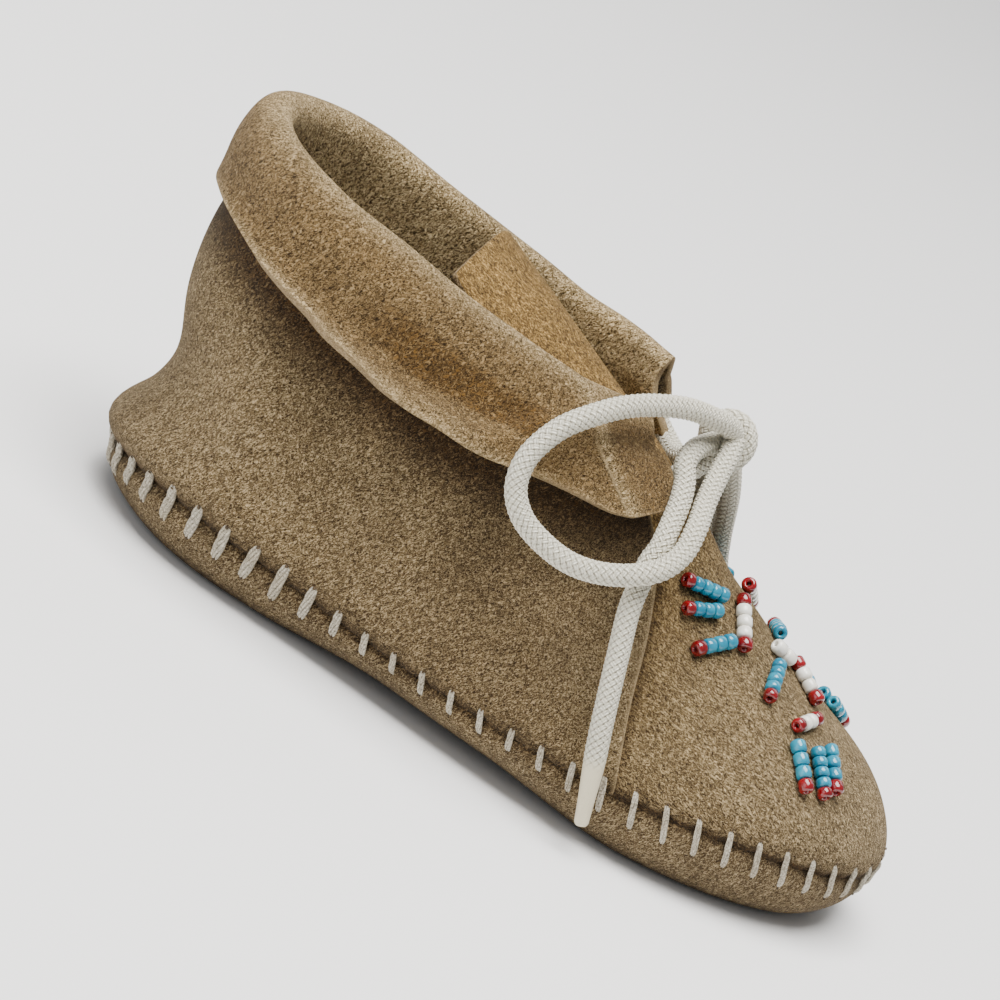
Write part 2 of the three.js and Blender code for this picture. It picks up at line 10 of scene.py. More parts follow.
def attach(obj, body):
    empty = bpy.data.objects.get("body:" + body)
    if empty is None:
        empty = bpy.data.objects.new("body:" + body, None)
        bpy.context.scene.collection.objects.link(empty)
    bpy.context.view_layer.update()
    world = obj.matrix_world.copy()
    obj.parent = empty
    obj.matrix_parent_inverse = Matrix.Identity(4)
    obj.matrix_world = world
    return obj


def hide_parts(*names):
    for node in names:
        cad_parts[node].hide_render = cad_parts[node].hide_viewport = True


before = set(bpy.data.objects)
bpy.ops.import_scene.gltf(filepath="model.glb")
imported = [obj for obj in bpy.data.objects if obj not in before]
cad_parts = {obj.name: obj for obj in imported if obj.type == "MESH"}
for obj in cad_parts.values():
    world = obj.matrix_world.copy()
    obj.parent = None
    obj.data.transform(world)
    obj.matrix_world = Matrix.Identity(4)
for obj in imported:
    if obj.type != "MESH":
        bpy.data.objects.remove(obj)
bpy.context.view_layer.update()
print("frame loaded:", len(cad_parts), "solids")

mm = 0.001
quarterTurn = math.pi / 2

# The foot, in millimetres: x to the toe, y to the wearer's left, z up
foot = {"heelBack": -62.0, "heelCentre": -36.0, "heelHalf": 25.0, "ballCentre": 19.0, "ballHalf": 31.5,
        "toeTip": 63.0, "shift": 3.1, "gap": 0.3, "heelEnd": 0.26, "sideEnd": 0.6, "waist": (-32, 30),
        "waistFade": (22, 24), "archLift": 1.2, "toeLift": 0.4, "toeLiftFrom": 44, "spine": (-40.0, 36.0)}
heelLong = foot["heelCentre"] - foot["heelBack"]
sideLong = foot["ballCentre"] - foot["heelCentre"]
toeLong = foot["toeTip"] - foot["ballCentre"]


def table(columns, *rows):
    return [dict(zip(columns.split(), row)) for row in rows]


def ease(t):
    k = min(1.0, max(0.0, t))
    return k * k * (3 - 2 * k)


def fade(value, start, width):  # eases from 0 at the start to 1 a width further on
    return ease((value - start) / width)


def bell(value, centre, width):
    return math.exp(-((value - centre) / width) ** 2)


def roundEnd(reach):  # height of a unit circle's quarter
    return math.sqrt(max(0.0, 1 - reach ** 2))


def between(rows, axis, column, at):  # a column of a table as a smooth curve
    last = len(rows) - 1
    i = 0
    while i < last - 1 and at > rows[i + 1][axis]:
        i += 1

    def slope(k):
        a = rows[max(0, k - 1)]
        b = rows[min(last, k + 1)]
        return (b[column] - a[column]) / (b[axis] - a[axis])

    width = rows[i + 1][axis] - rows[i][axis]
    t = min(1.0, max(0.0, (at - rows[i][axis]) / width))
    start = rows[i][column] * (1 + 2 * t) * (1 - t) ** 2 + rows[i + 1][column] * t * t * (3 - 2 * t)
    return start + slope(i) * width * t * (1 - t) ** 2 + slope(i + 1) * width * t * t * (t - 1)


def whereReached(curve, target):  # where between 0 and 1 a rising curve reaches a value
    low, high = 0.0, 1.0
    for _ in range(40):
        middle = (low + high) / 2
        if curve(middle) < target:
            low = middle
        else:
            high = middle
    return low


def toRow(x, y, z):
    return Vector((x + foot["shift"], y, z)) * mm


def fromRow(spot):
    return Vector((spot.x * 1000 - foot["shift"], spot.y * 1000, spot.z * 1000))


def outlineHalf(x):
    if x < foot["heelCentre"]:
        return foot["heelHalf"] * roundEnd((foot["heelCentre"] - x) / heelLong)
    if x < foot["ballCentre"]:
        wider = foot["ballHalf"] - foot["heelHalf"]
        return foot["heelHalf"] + wider * fade(x, foot["heelCentre"], sideLong)
    return foot["ballHalf"] * roundEnd((x - foot["ballCentre"]) / toeLong)


def outlineFrame(share):  # place and outward direction on the left half, heel 0 to toe 1
    if share < foot["heelEnd"]:
        angle = share / foot["heelEnd"] * quarterTurn
        x = foot["heelCentre"] - heelLong * math.cos(angle)
        y = foot["heelHalf"] * math.sin(angle)
        nx, ny = -math.cos(angle) * foot["heelHalf"], math.sin(angle) * heelLong
    elif share < foot["sideEnd"]:
        part = (share - foot["heelEnd"]) / (foot["sideEnd"] - foot["heelEnd"])
        x = foot["heelCentre"] + sideLong * part
        y = outlineHalf(x)
        nx, ny = -(outlineHalf(x + 0.01) - outlineHalf(x - 0.01)) / 0.02, 1.0
    else:
        angle = (share - foot["sideEnd"]) / (1 - foot["sideEnd"]) * quarterTurn
        x = foot["ballCentre"] + toeLong * math.sin(angle)
        y = foot["ballHalf"] * math.cos(angle)
        nx, ny = math.sin(angle) * foot["ballHalf"], math.cos(angle) * toeLong
    size = math.hypot(nx, ny)
    return x, y, nx / size, ny / size


def rimShareAt(x):  # share of the outline at a station
    if x < foot["heelCentre"]:
        return foot["heelEnd"] * math.acos(min(1.0, (foot["heelCentre"] - x) / heelLong)) / quarterTurn
    if x < foot["ballCentre"]:
        part = (x - foot["heelCentre"]) / sideLong
        return foot["heelEnd"] + (foot["sideEnd"] - foot["heelEnd"]) * part
    turn = math.asin(min(1.0, (x - foot["ballCentre"]) / toeLong))
    return foot["sideEnd"] + (1 - foot["sideEnd"]) * turn / quarterTurn


rimSteps = 600
rimDistance = [0.0]
for k in range(rimSteps):
    ax, ay, _, _ = outlineFrame(k / rimSteps)
    bx, by, _, _ = outlineFrame((k + 1) / rimSteps)
    rimDistance.append(rimDistance[-1] + math.hypot(bx - ax, by - ay))


def rimDistanceAt(share):
    place = min(rimSteps - 1e-6, max(0.0, share * rimSteps))
    k = int(place)
    return rimDistance[k] + (rimDistance[k + 1] - rimDistance[k]) * (place - k)


# Whipstitches: even steps round the seam, long at heel and toe, short at the waist
stitch = {"pitch": 4.8, "endLong": 6.5, "waistLong": 3.7, "waistGain": 1.1, "uneven": 0.1, "above": 0.44,
          "stray": 0.4, "lean": 0.36, "leanFrom": (-30, 30), "ply": 0.27, "plies": 6, "spread": 0.56,
          "turns": 0.5, "slim": 0.42, "slimFrom": (-34, 26), "steps": 14, "proud": 0.42, "sunk": 0.6,
          "bridge": 8, "seed": 5}
stitchCount = round(rimDistance[-1] / stitch["pitch"])
stitchStep = rimDistance[-1] / stitchCount


def pucker(x):  # 1 at a stitch, -1 between two
    return math.cos(2 * math.pi * (rimDistanceAt(rimShareAt(x)) / stitchStep - 0.5))


seamRun = table("station height", (-62, 5.8), (-57.5, 7.6), (-48, 8.8), (-36, 8.5), (-15, 7.6), (20, 8.8),
                (46, 10.6), (63, 10.2))


def seamAt(x):
    return between(seamRun, "station", "height", x)


def upperFoot(x):
    return seamAt(x) + foot["gap"]


def waistAt(x):  # 1 along the waist, 0 at heel and ball
    back, front = foot["waist"]
    backFade, frontFade = foot["waistFade"]
    return ease((x - back) / backFade) * ease((front - x) / frontFade)


def lift(x):
    past = max(0.0, (x - foot["toeLiftFrom"]) / (foot["toeTip"] - foot["toeLiftFrom"]))
    return foot["archLift"] * waistAt(x) + foot["toeLift"] * past ** 2


def spineAt(x):
    return max(foot["spine"][0], min(foot["spine"][1], x))


def trough(x, z, valley):  # soft valley along a line
    ax, az, bx, bz = valley["ax"], valley["az"], valley["bx"], valley["bz"]
    long = math.hypot(bx - ax, bz - az)
    along = ((x - ax) * (bx - ax) + (z - az) * (bz - az)) / long
    across = ((x - ax) * (bz - az) - (z - az) * (bx - ax)) / long
    past = max(0.0, -along, along - long)
    wide = valley["wide"]
    return valley["depth"] * math.exp(-(across / wide) ** 2 - (past / wide) ** 2)


def unevenness(x, y, z, size, height):
    return height * noise.noise(Vector((x, y, z)) / size)


def evenSteps(line, count, step=1.0):  # the line again in even steps, with its length
    reach = [0.0]
    for a, b in zip(line, line[1:]):
        reach.append(reach[-1] + (b - a).length)
    count = count or max(8, round(reach[-1] / step))
    path = []
    k = 0
    for i in range(count + 1):
        at = reach[-1] * i / count
        while k < len(line) - 2 and reach[k + 1] < at:
            k += 1
        path.append(line[k].lerp(line[k + 1], (at - reach[k]) / max(1e-9, reach[k + 1] - reach[k])))
    return path, reach[-1]


def softened(line, rounds):  # inner points drawn towards their neighbours
    for _ in range(rounds):
        inner = [(a + 2 * b + c) / 4 for a, b, c in zip(line, line[1:], line[2:])]
        line = line[:1] + inner + line[-1:]
    return line


def bezier(a, b, c, d, t):
    s = 1 - t
    return a * s ** 3 + 3 * b * s * s * t + 3 * c * s * t * t + d * t ** 3


def gridSkin(columns, rows, place, **marks):  # a bent grid; doubles close its seams and poles
    bm = bmesh.new()
    bm.loops.layers.uv.new("UVMap")
    bmesh.ops.create_grid(bm, x_segments=columns, y_segments=rows, size=1.0, calc_uvs=True)
    high = max(vert.co.x for vert in bm.verts)
    for name in marks:
        bm.verts.layers.float.new(name)
    layers = [(bm.verts.layers.float[name], markAt) for name, markAt in marks.items()]
    for vert in bm.verts:
        u, v = 0.5 + 0.5 * vert.co.x / high, 0.5 + 0.5 * vert.co.y / high
        vert.co = place(u, v)
        for layer, markAt in layers:
            vert[layer] = markAt(u, v, fromRow(vert.co))
    bmesh.ops.remove_doubles(bm, verts=bm.verts[:], dist=1e-6)
    return bm


def faceOut(bm, centre):  # the lowest faces show which side is out
    bm.normal_update()
    low = sorted(bm.faces, key=lambda face: face.calc_center_median().z)[:60]
    if sum(face.normal.dot(face.calc_center_median() - centre) for face in low) < 0:
        bmesh.ops.reverse_faces(bm, faces=bm.faces[:])
    bm.normal_update()
    return bm


def showPiece(name, bm, finishes, nodes=()):
    mesh = bpy.data.meshes.new(name)
    bm.to_mesh(mesh)
    bm.free()
    for finish in finishes:
        mesh.materials.append(finish)
    mesh.polygons.foreach_set("use_smooth", [True] * len(mesh.polygons))
    piece = bpy.data.objects.new(name, mesh)
    bpy.context.collection.objects.link(piece)
    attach(piece, "root")
    if nodes:
        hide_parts(*nodes)
    return piece


def giveWall(piece, thick):
    shell = piece.modifiers.new("wall", "SOLIDIFY")
    shell.thickness = thick * mm
    shell.offset = -1.0
    shell.material_offset = 1
    shell.material_offset_rim = 2
    shell.edge_crease_outer = shell.edge_crease_inner = 0.7
    soft = piece.modifiers.new("soft", "SUBSURF")
    soft.levels = 1
    soft.render_levels = 1


# Finishes
def newFinish(name):
    finish = bpy.data.materials.new(name)
    finish.use_nodes = True
    return finish, finish.node_tree, finish.node_tree.nodes["Principled BSDF"]


def addNode(tree, kind, **values):
    made = tree.nodes.new(kind)
    for key, value in values.items():
        if key in made.inputs:
            made.inputs[key].default_value = value
        else:
            setattr(made, key, value)
    return made


def feed(tree, socket, value):  # a socket takes a link, a colour or a number
    if isinstance(value, bpy.types.NodeSocket):
        tree.links.new(value, socket)
    elif isinstance(value, tuple):
        socket.default_value = (*value, 1)
    else:
        socket.default_value = value


def mixColour(tree, blend, factor, first, second):
    made = addNode(tree, "ShaderNodeMix", data_type="RGBA", blend_type=blend)
    for place, value in ((0, factor), (6, first), (7, second)):
        feed(tree, made.inputs[place], value)
    return made.outputs[2]


def mixValue(tree, operation, first, second=0.0):
    made = addNode(tree, "ShaderNodeMath", operation=operation)
    feed(tree, made.inputs[0], first)
    feed(tree, made.inputs[1], second)
    return made.outputs[0]


def times(tree, first, second):
    return mixValue(tree, "MULTIPLY", first, second)


def plus(tree, first, second):
    return mixValue(tree, "ADD", first, second)


def minus(tree, first, second):
    return mixValue(tree, "SUBTRACT", first, second)


def remap(tree, value, low, high, start, end, curve="LINEAR"):  # low to high becomes start to end
    made = addNode(tree, "ShaderNodeMapRange", interpolation_type=curve)
    tree.links.new(value, made.inputs["Value"])
    for name, number in (("From Min", low), ("From Max", high), ("To Min", start), ("To Max", end)):
        made.inputs[name].default_value = number
    return made.outputs["Result"]


def grain(tree, where, scale, detail, rough, warp):
    made = addNode(tree, "ShaderNodeTexNoise", Scale=scale, Detail=detail, Roughness=rough, Distortion=warp)
    tree.links.new(where, made.inputs["Vector"])
    return made.outputs["Fac"]


def ramp(tree, factor, *stops):
    made = addNode(tree, "ShaderNodeValToRGB")
    band = made.color_ramp.elements
    while len(band) < len(stops):
        band.new(0.5)
    for element, (place, colour) in zip(band, stops):
        element.position = place
        element.color = (*colour, 1)
    tree.links.new(factor, made.inputs["Fac"])
    return made.outputs["Color"]


def objectPlace(tree):
    return addNode(tree, "ShaderNodeTexCoord").outputs["Object"]


def axes(tree, where):
    split = addNode(tree, "ShaderNodeSeparateXYZ")
    tree.links.new(where, split.inputs[0])
    return split.outputs


def markOf(tree, name):
    return addNode(tree, "ShaderNodeAttribute", attribute_name=name).outputs["Fac"]


def addBump(tree, shader, height, strength, deep):
    bump = addNode(tree, "ShaderNodeBump", Strength=strength, Distance=deep)
    tree.links.new(height, bump.inputs["Height"])
    tree.links.new(bump.outputs["Normal"], shader.inputs["Normal"])


def setShader(tree, shader, sockets):
    for name, value in sockets.items():
        feed(tree, shader.inputs[name], value)


def speckFinish(name, scale, look, rough):  # a dull finish, finely speckled
    finish, tree, shader = newFinish(name)
    speck = grain(tree, objectPlace(tree), scale, 2.0, 0.5, 0.0)
    tone = ramp(tree, speck, (0.3, look["dark"]), (0.7, look["light"]))
    setShader(tree, shader, {"Base Color": tone, "Roughness": rough})
    return finish


# The collar's front corner bends along a slanting crease, rubbed to a thin pale ridge
crease = {"x": -2.6, "z": 48.0, "ahead": 0.568, "down": 0.823, "half": 0.34, "wander": 1.2}


def creaseLine(tree, where, clump):
    place = axes(tree, where)
    ahead = times(tree, minus(tree, place["X"], toRow(crease["x"], 0, 0).x), crease["ahead"])
    down = times(tree, minus(tree, crease["z"] * mm, place["Z"]), crease["down"])
    wander = times(tree, minus(tree, clump, 0.5), crease["wander"] * mm)
    off = mixValue(tree, "ABSOLUTE", plus(tree, minus(tree, ahead, down), wander))
    near = remap(tree, off, 0.0, crease["half"] * mm, 1.0, 0.0, "SMOOTHSTEP")
    return times(tree, near, markOf(tree, "crease"))


suede = {"stretch": (1.0, 1.0, 2.2), "patchScale": 95.0, "napHigh": 0.8, "wrinkleHigh": 0.3,
         "wrinkleSharp": 8.0, "darkAt": 0.38, "middleAt": 0.55, "lightAt": 0.76, "warmBack": 0.002,
         "warmFront": 0.066, "wornMix": 0.5, "wornHigh": 0.9, "edgePower": 1.6, "deep": 0.0004,
         "roughLow": 0.82, "roughHigh": 1.0}


def suedeFinish(name, look):
    finish, tree, shader = newFinish(name)
    where = objectPlace(tree)
    turned = addNode(tree, "ShaderNodeMapping", vector_type="TEXTURE", Rotation=look["brush"],
                     Scale=suede["stretch"])
    tree.links.new(where, turned.inputs["Vector"])
    brushed = turned.outputs["Vector"]
    nap = grain(tree, brushed, look["nap"], 2.0, 0.6, 1.0)
    clump = grain(tree, brushed, look["clump"], 2.0, 0.62, 1.2)
    wrinkle = times(tree, mixValue(tree, "ABSOLUTE", minus(tree, clump, 0.5)), suede["wrinkleSharp"])
    wrinkle = mixValue(tree, "MINIMUM", wrinkle, 1.0)
    patch = grain(tree, where, suede["patchScale"], 4.0, 0.55, 0.4)
    height = plus(tree, times(tree, nap, suede["napHigh"]), times(tree, wrinkle, suede["wrinkleHigh"]))
    colour = ramp(tree, height, (suede["darkAt"], look["dark"]), (suede["middleAt"], look["middle"]),
                  (suede["lightAt"], look["light"]))
    if "warm" in look:  # brown at the tongue, pale at the toe
        reach = remap(tree, axes(tree, where)["X"], suede["warmBack"], suede["warmFront"], 0.0, 1.0)
        tint = ramp(tree, reach, (0.0, look["warm"]), (0.4, look["mild"]), (1.0, look["pale"]))
        colour = mixColour(tree, "MULTIPLY", 1.0, colour, tint)
    shade = ramp(tree, patch, (0.3, (0.74, 0.72, 0.69)), (0.52, (1, 1, 1)), (0.72, (1.12, 1.1, 1.06)))
    colour = mixColour(tree, "MULTIPLY", look["patch"], colour, shade)
    # Darker where the mesh is marked: dirt at the seams, and painted shade in the seam grooves, under the
    # cuff, on the flap and beside the quarter's edge
    soil = mixValue(tree, "MAXIMUM", times(tree, markOf(tree, "soil"), look["face"]), 0.0)
    grimeAndShade = times(tree, soil, ramp(tree, clump, (0.3, (0.8, 0.8, 0.8)), (0.7, (1, 1, 1))))
    colour = mixColour(tree, "MULTIPLY", grimeAndShade, colour, look["soil"])
    edge = mixValue(tree, "POWER", markOf(tree, "edge"), suede["edgePower"])
    worn = mixValue(tree, "MAXIMUM", creaseLine(tree, where, clump), edge)
    colour = mixColour(tree, "MIX", times(tree, worn, suede["wornMix"]), colour, look["worn"])
    height = plus(tree, height, times(tree, worn, suede["wornHigh"]))
    rough = remap(tree, nap, 0.0, 1.0, suede["roughLow"], suede["roughHigh"])
    setShader(tree, shader, {"Base Color": colour, "Roughness": rough, "Sheen Weight": look["sheen"],
                             "Sheen Roughness": 0.5, "Sheen Tint": (1.0, 0.9, 0.74),
                             "Specular IOR Level": 0.1})
    addBump(tree, shader, height, look["bump"], suede["deep"])
    return finish


# A face of 1 shows the marks of the outer side, -1 those of the flesh side; the darkening colours tint seam
# dirt and painted shade
khaki = {"nap": 4700.0, "clump": 2900.0, "brush": (0.2, 0.5, 0.1), "face": 1.0, "patch": 0.8, "bump": 1.0,
         "sheen": 0.06, "dark": (0.030, 0.017, 0.007), "middle": (0.172, 0.117, 0.054),
         "light": (0.50, 0.375, 0.205), "soil": (0.15, 0.092, 0.04), "worn": (0.5, 0.37, 0.2)}
vampLook = {"brush": (0.2, 1.9, 0.3), "warm": (1.12, 0.94, 0.58), "mild": (0.86, 0.84, 0.79),
            "pale": (1.26, 1.3, 1.38)}
# The sole's suede is darker than the upper's: dirt, and painted shade where it faces down
soleLook = {"middle": (0.134, 0.09, 0.043), "light": (0.43, 0.325, 0.18), "soil": (0.28, 0.21, 0.13)}
fleshLook = {"face": -1.0, "nap": 4000.0, "clump": 2400.0, "soil": (0.23, 0.155, 0.062),
             "dark": (0.05, 0.032, 0.013), "middle": (0.37, 0.265, 0.128), "light": (0.76, 0.58, 0.33)}
cutLook = {"face": 0.0, "dark": (0.10, 0.064, 0.03), "middle": (0.25, 0.172, 0.088),
           "light": (0.50, 0.37, 0.21)}
suedeKhaki = suedeFinish("suedeKhaki", khaki)
suedeVamp = suedeFinish("suedeVamp", dict(khaki, **vampLook))
suedeSole = suedeFinish("suedeSole", dict(khaki, **soleLook))
fleshSide = suedeFinish("fleshSide", dict(khaki, **fleshLook))
cutEdge = suedeFinish("cutEdge", dict(khaki, **cutLook))
print("suede finishes made")

# Lace cord: a round braid, smooth and tapered at its bare tips, with painted shade in the braid's grooves
lace = {"radius": 1.55, "strands": 8, "yarns": 2, "cell": 1.0, "relief": 0.34, "middle": 0.75, "sides": 48,
        "step": 0.25, "waxFade": 3.0, "taper": 0.34, "endRound": 0.8, "fibre": 4200.0, "deep": 0.0002,
        "low": (0.30, 0.265, 0.19), "mid": (0.70, 0.655, 0.52), "high": (0.98, 0.945, 0.80),
        "wax": (0.62, 0.55, 0.39), "roughCotton": 0.5, "roughWax": 0.42, "plump": 0.6, "dip": 0.45,
        "crown": 0.55}


def laceFinish():
    finish, tree, shader = newFinish("laceCotton")
    where = addNode(tree, "ShaderNodeTexCoord")
    steps = axes(tree, where.outputs["UV"])
    waxed = markOf(tree, "waxed")
    fibre = grain(tree, where.outputs["Object"], lace["fibre"], 2.0, 0.6, 0.3)
    turns = times(tree, steps["Y"], float(lace["strands"]))
    first = plus(tree, turns, steps["X"])
    second = minus(tree, turns, steps["X"])
    odd = plus(tree, mixValue(tree, "FLOOR", first), mixValue(tree, "FLOOR", second))
    pick = addNode(tree, "ShaderNodeMix", data_type="FLOAT")
    tree.links.new(mixValue(tree, "FLOORED_MODULO", odd, 2.0), pick.inputs[0])
    for place, strand in ((2, first), (3, second)):
        tree.links.new(mixValue(tree, "PINGPONG", strand, 0.5 / lace["yarns"]), pick.inputs[place])
    yarn = times(tree, pick.outputs[0], 2.0 * lace["yarns"])
    yarn = times(tree, yarn, minus(tree, 1.0, waxed))
    # Painted shade: the cord is darker down in the braid's grooves and in the lines between its yarns
    tone = ramp(tree, markOf(tree, "groove"), (0.15, lace["low"]), (0.55, lace["mid"]), (0.9, lace["high"]))
    seam = ramp(tree, yarn, (0.0, (0.5, 0.48, 0.43)), (0.55, (1, 1, 1)))
    tone = mixColour(tree, "MULTIPLY", 0.55, tone, seam)
    fuzz = ramp(tree, fibre, (0.32, (0.62, 0.60, 0.55)), (0.62, (1, 1, 1)))
    tone = mixColour(tree, "MULTIPLY", 0.45, tone, fuzz)
    tone = mixColour(tree, "MIX", waxed, tone, lace["wax"])
    addBump(tree, shader, plus(tree, yarn, times(tree, fibre, 0.6)), 1.0, lace["deep"])
    rough = remap(tree, waxed, 0.0, 1.0, lace["roughCotton"], lace["roughWax"])
    setShader(tree, shader, {"Base Color": tone, "Roughness": rough, "Sheen Weight": 0.1})
    return finish


laceCotton = laceFinish()


def smoothPath(points, step):  # even steps on a smooth curve through the points
    spots = [Vector(p) for p in points]
    spots = [2 * spots[0] - spots[1]] + spots + [2 * spots[-1] - spots[-2]]
    pieces = 24
    dense = []
    for a, b, c, d in zip(spots, spots[1:], spots[2:], spots[3:]):
        tb = max(1e-4, (b - a).length) ** 0.5
        tc = tb + max(1e-4, (c - b).length) ** 0.5
        td = tc + max(1e-4, (d - c).length) ** 0.5
        for j in range(pieces):
            t = tb + (tc - tb) * j / pieces
            ab = a.lerp(b, t / tb)
            bc = b.lerp(c, (t - tb) / (tc - tb))
            cd = c.lerp(d, (t - tc) / (td - tc))
            abc = ab.lerp(bc, t / tc)
            bcd = bc.lerp(cd, (t - tb) / (td - tb))
            dense.append(abc.lerp(bcd, (t - tb) / (tc - tb)))
    dense.append(spots[-2])
    return evenSteps(dense, None, step)


def carriedFrames(path):  # side and top directions carried along without twist
    frames = []
    side = None
    for i in range(len(path)):
        ahead = (path[min(len(path) - 1, i + 1)] - path[max(0, i - 1)]).normalized()
        if side is None:
            side = ahead.orthogonal().normalized()
        side = (side - ahead * side.dot(ahead)).normalized()
        frames.append((side, ahead.cross(side).normalized()))
    return frames


def ringSpot(centre, sideTop, angle, size):
    side, top = sideTop
    return centre + (side * math.cos(angle) + top * math.sin(angle)) * size


def strandHeight(top, cross):  # a strand dips where the other set crosses it
    return top ** lace["plump"] * (lace["dip"] + lace["crown"] * cross ** 0.5)


def braidHeight(turn, along):  # two sets of strands passing over and under
    a = lace["strands"] * turn + along / lace["cell"]
    b = lace["strands"] * turn - along / lace["cell"]
    over = math.sin(math.pi * (a % 1.0))
    under = math.sin(math.pi * (b % 1.0))
    if (math.floor(a) + math.floor(b)) % 2 == 0:
        return strandHeight(over, under)
    return strandHeight(under, over)


def braidCord(name, points, nodes, tip=0.0):
    path, long = smoothPath(points, lace["step"])
    frames = carriedFrames(path)
    last = len(path) - 1

    def stepAt(u):
        return min(last, round(u * last))

    def weaveAt(u, v, spot=None):
        return braidHeight(v, long * stepAt(u) / last)

    def waxAt(u, v, spot=None):
        left = long - long * stepAt(u) / last
        return ease((tip - left) / lace["waxFade"]) if tip else 0.0

    def place(u, v):
        i = stepAt(u)
        at = long * i / last
        left = long - at
        girth = lace["radius"] + lace["relief"] * (weaveAt(u, v) - lace["middle"]) * (1 - waxAt(u, v))
        if tip:
            girth *= 1 - lace["taper"] * ease((tip - left) / tip)
        girth *= roundEnd(1 - min(1.0, min(at, left) / lace["endRound"]))
        return toRow(*ringSpot(path[i], frames[i], 2 * math.pi * v, girth))

    bm = gridSkin(last, lace["sides"], place, groove=weaveAt, waxed=waxAt)
    bmesh.ops.recalc_face_normals(bm, faces=bm.faces[:])
    uvMap = bm.loops.layers.uv.active  # the braid reads steps along and turns around
    for face in bm.faces:
        for loop in face.loops:
            loop[uvMap].uv.x *= long / lace["cell"]
    piece = showPiece(name, bm, [laceCotton], nodes)
    return piece, [toRow(*p) for p in path], long * mm


# The points lie free, the tucked ones are inside the knot
bow = {
    "laceLoopRight": {
        "node": "lace_loop_right", "farEnd": "knot", "tip": 0.0,
        "tucked": ((12.6, -1.6, 53.6), (13, -1.4, 53.4)),
        "points": (
            (11.2, -4.8, 55.1), (8.8, -8.4, 55.9), (4.8, -13.5, 56.4), (-1.2, -21, 55), (-4.9, -26, 52.7),
            (-8.3, -30, 48.9), (-9.8, -32.5, 44), (-8.9, -33.5, 40), (-6.2, -33.9, 37.2), (-2, -33.8, 35.6),
            (3, -33.3, 35.1), (8.2, -32, 36.4), (13, -29.2, 39.2), (14.8, -25, 41.8), (14.7, -20.5, 44.5),
            (14, -15, 46.8), (13.6, -9.8, 49.3), (13.4, -5.4, 51.6))},
    "laceLoopLeft": {
        "node": "lace_loop_left", "farEnd": "knot", "tip": 0.0,
        "tucked": ((12.2, 1.5, 52.4), (12.6, 1.5, 51.8)),
        "points": (
            (12.9, 5.2, 52), (13.7, 8.8, 49.8), (14.6, 12.2, 45.4), (15.8, 17.2, 39), (16.8, 22.6, 31),
            (17.8, 26.6, 24.6), (18.6, 29.6, 19), (19.7, 31.6, 15.6), (22.5, 33, 13), (26.5, 33.5, 12.1),
            (30.5, 32.8, 12.9), (33.3, 31.1, 15.5), (34.2, 29.5, 18.1), (33.6, 27.9, 20.4),
            (31.6, 26.5, 22.2), (28.4, 25, 23.6), (24.8, 23.2, 25.2), (21.6, 20.4, 29), (19.2, 16.4, 34.8),
            (16.8, 10.4, 42.6), (14.2, 4.8, 48.6))},
    "laceEndRight": {
        "node": "lace_end_right", "farEnd": "bare", "tip": 11.0, "tucked": ((11.2, -1.5, 51.6),),
        "points": (
            (9.8, -5.3, 51.1), (8.9, -8.8, 50.6), (8.8, -12.6, 49.3), (10.1, -15.4, 47.7), (10.9, -18, 46),
            (11.3, -20.3, 44.3), (11.6, -22.6, 42.6), (11.8, -24.3, 40.8), (11.6, -25.6, 38.7),
            (12, -27.2, 36), (12.6, -29, 32.8), (14.6, -31.2, 27), (16.7, -33, 21.1), (18.4, -33.9, 16.4),
            (20.2, -34.4, 11.6), (22.7, -34.6, 4.4))},
    "laceEndLeft": {
        "node": "lace_end_left", "farEnd": "bare", "tip": 11.0, "tucked": ((10.6, 1.5, 51.5),),
        "points": (
            (9.6, 5.2, 51.1), (9.4, 8.6, 49.9), (9.9, 11.6, 47.9), (10.8, 14.4, 45.5), (11.6, 17, 43.1),
            (12.4, 19.6, 40.2), (13, 21.8, 36.8), (13.8, 24.2, 32.5), (14.4, 26.4, 28), (15.1, 28.8, 23),
            (15.8, 31, 18), (16.5, 32.7, 13.8), (17.2, 33.8, 9.8), (18, 34.2, 7), (18.8, 34.4, 4.2))},
}
for name, strand in bow.items():
    points = strand["tucked"][:1] + strand["points"] + strand["tucked"][1:]
    cord, path, long = braidCord(name, points, [strand["node"]], strand["tip"])
    tuple(path[0])
    [tuple(p) for p in path]
    print(name, "length", round(long, 4))

# The tied knot: one wrap of the lace round the four strands
knot = {"x": 12.2, "y": -0.2, "z": 52.1, "long": 2.7, "tall": 3.0, "lean": 1.125, "start": 0.3, "steps": 32,
        "lap": 4}
knotPoints = []
for k in range(knot["steps"] + knot["lap"] + 1):
    t = 2 * math.pi * (k / knot["steps"] - knot["start"])
    across = 2 * k / (knot["steps"] + knot["lap"]) - 1
    knotPoints.append((knot["x"] + knot["long"] * math.cos(t), knot["y"] + knot["lean"] * across,
                       knot["z"] + knot["tall"] * math.sin(t)))
braidCord("laceKnot", knotPoints, ["lace_knot"])
print("bow made")

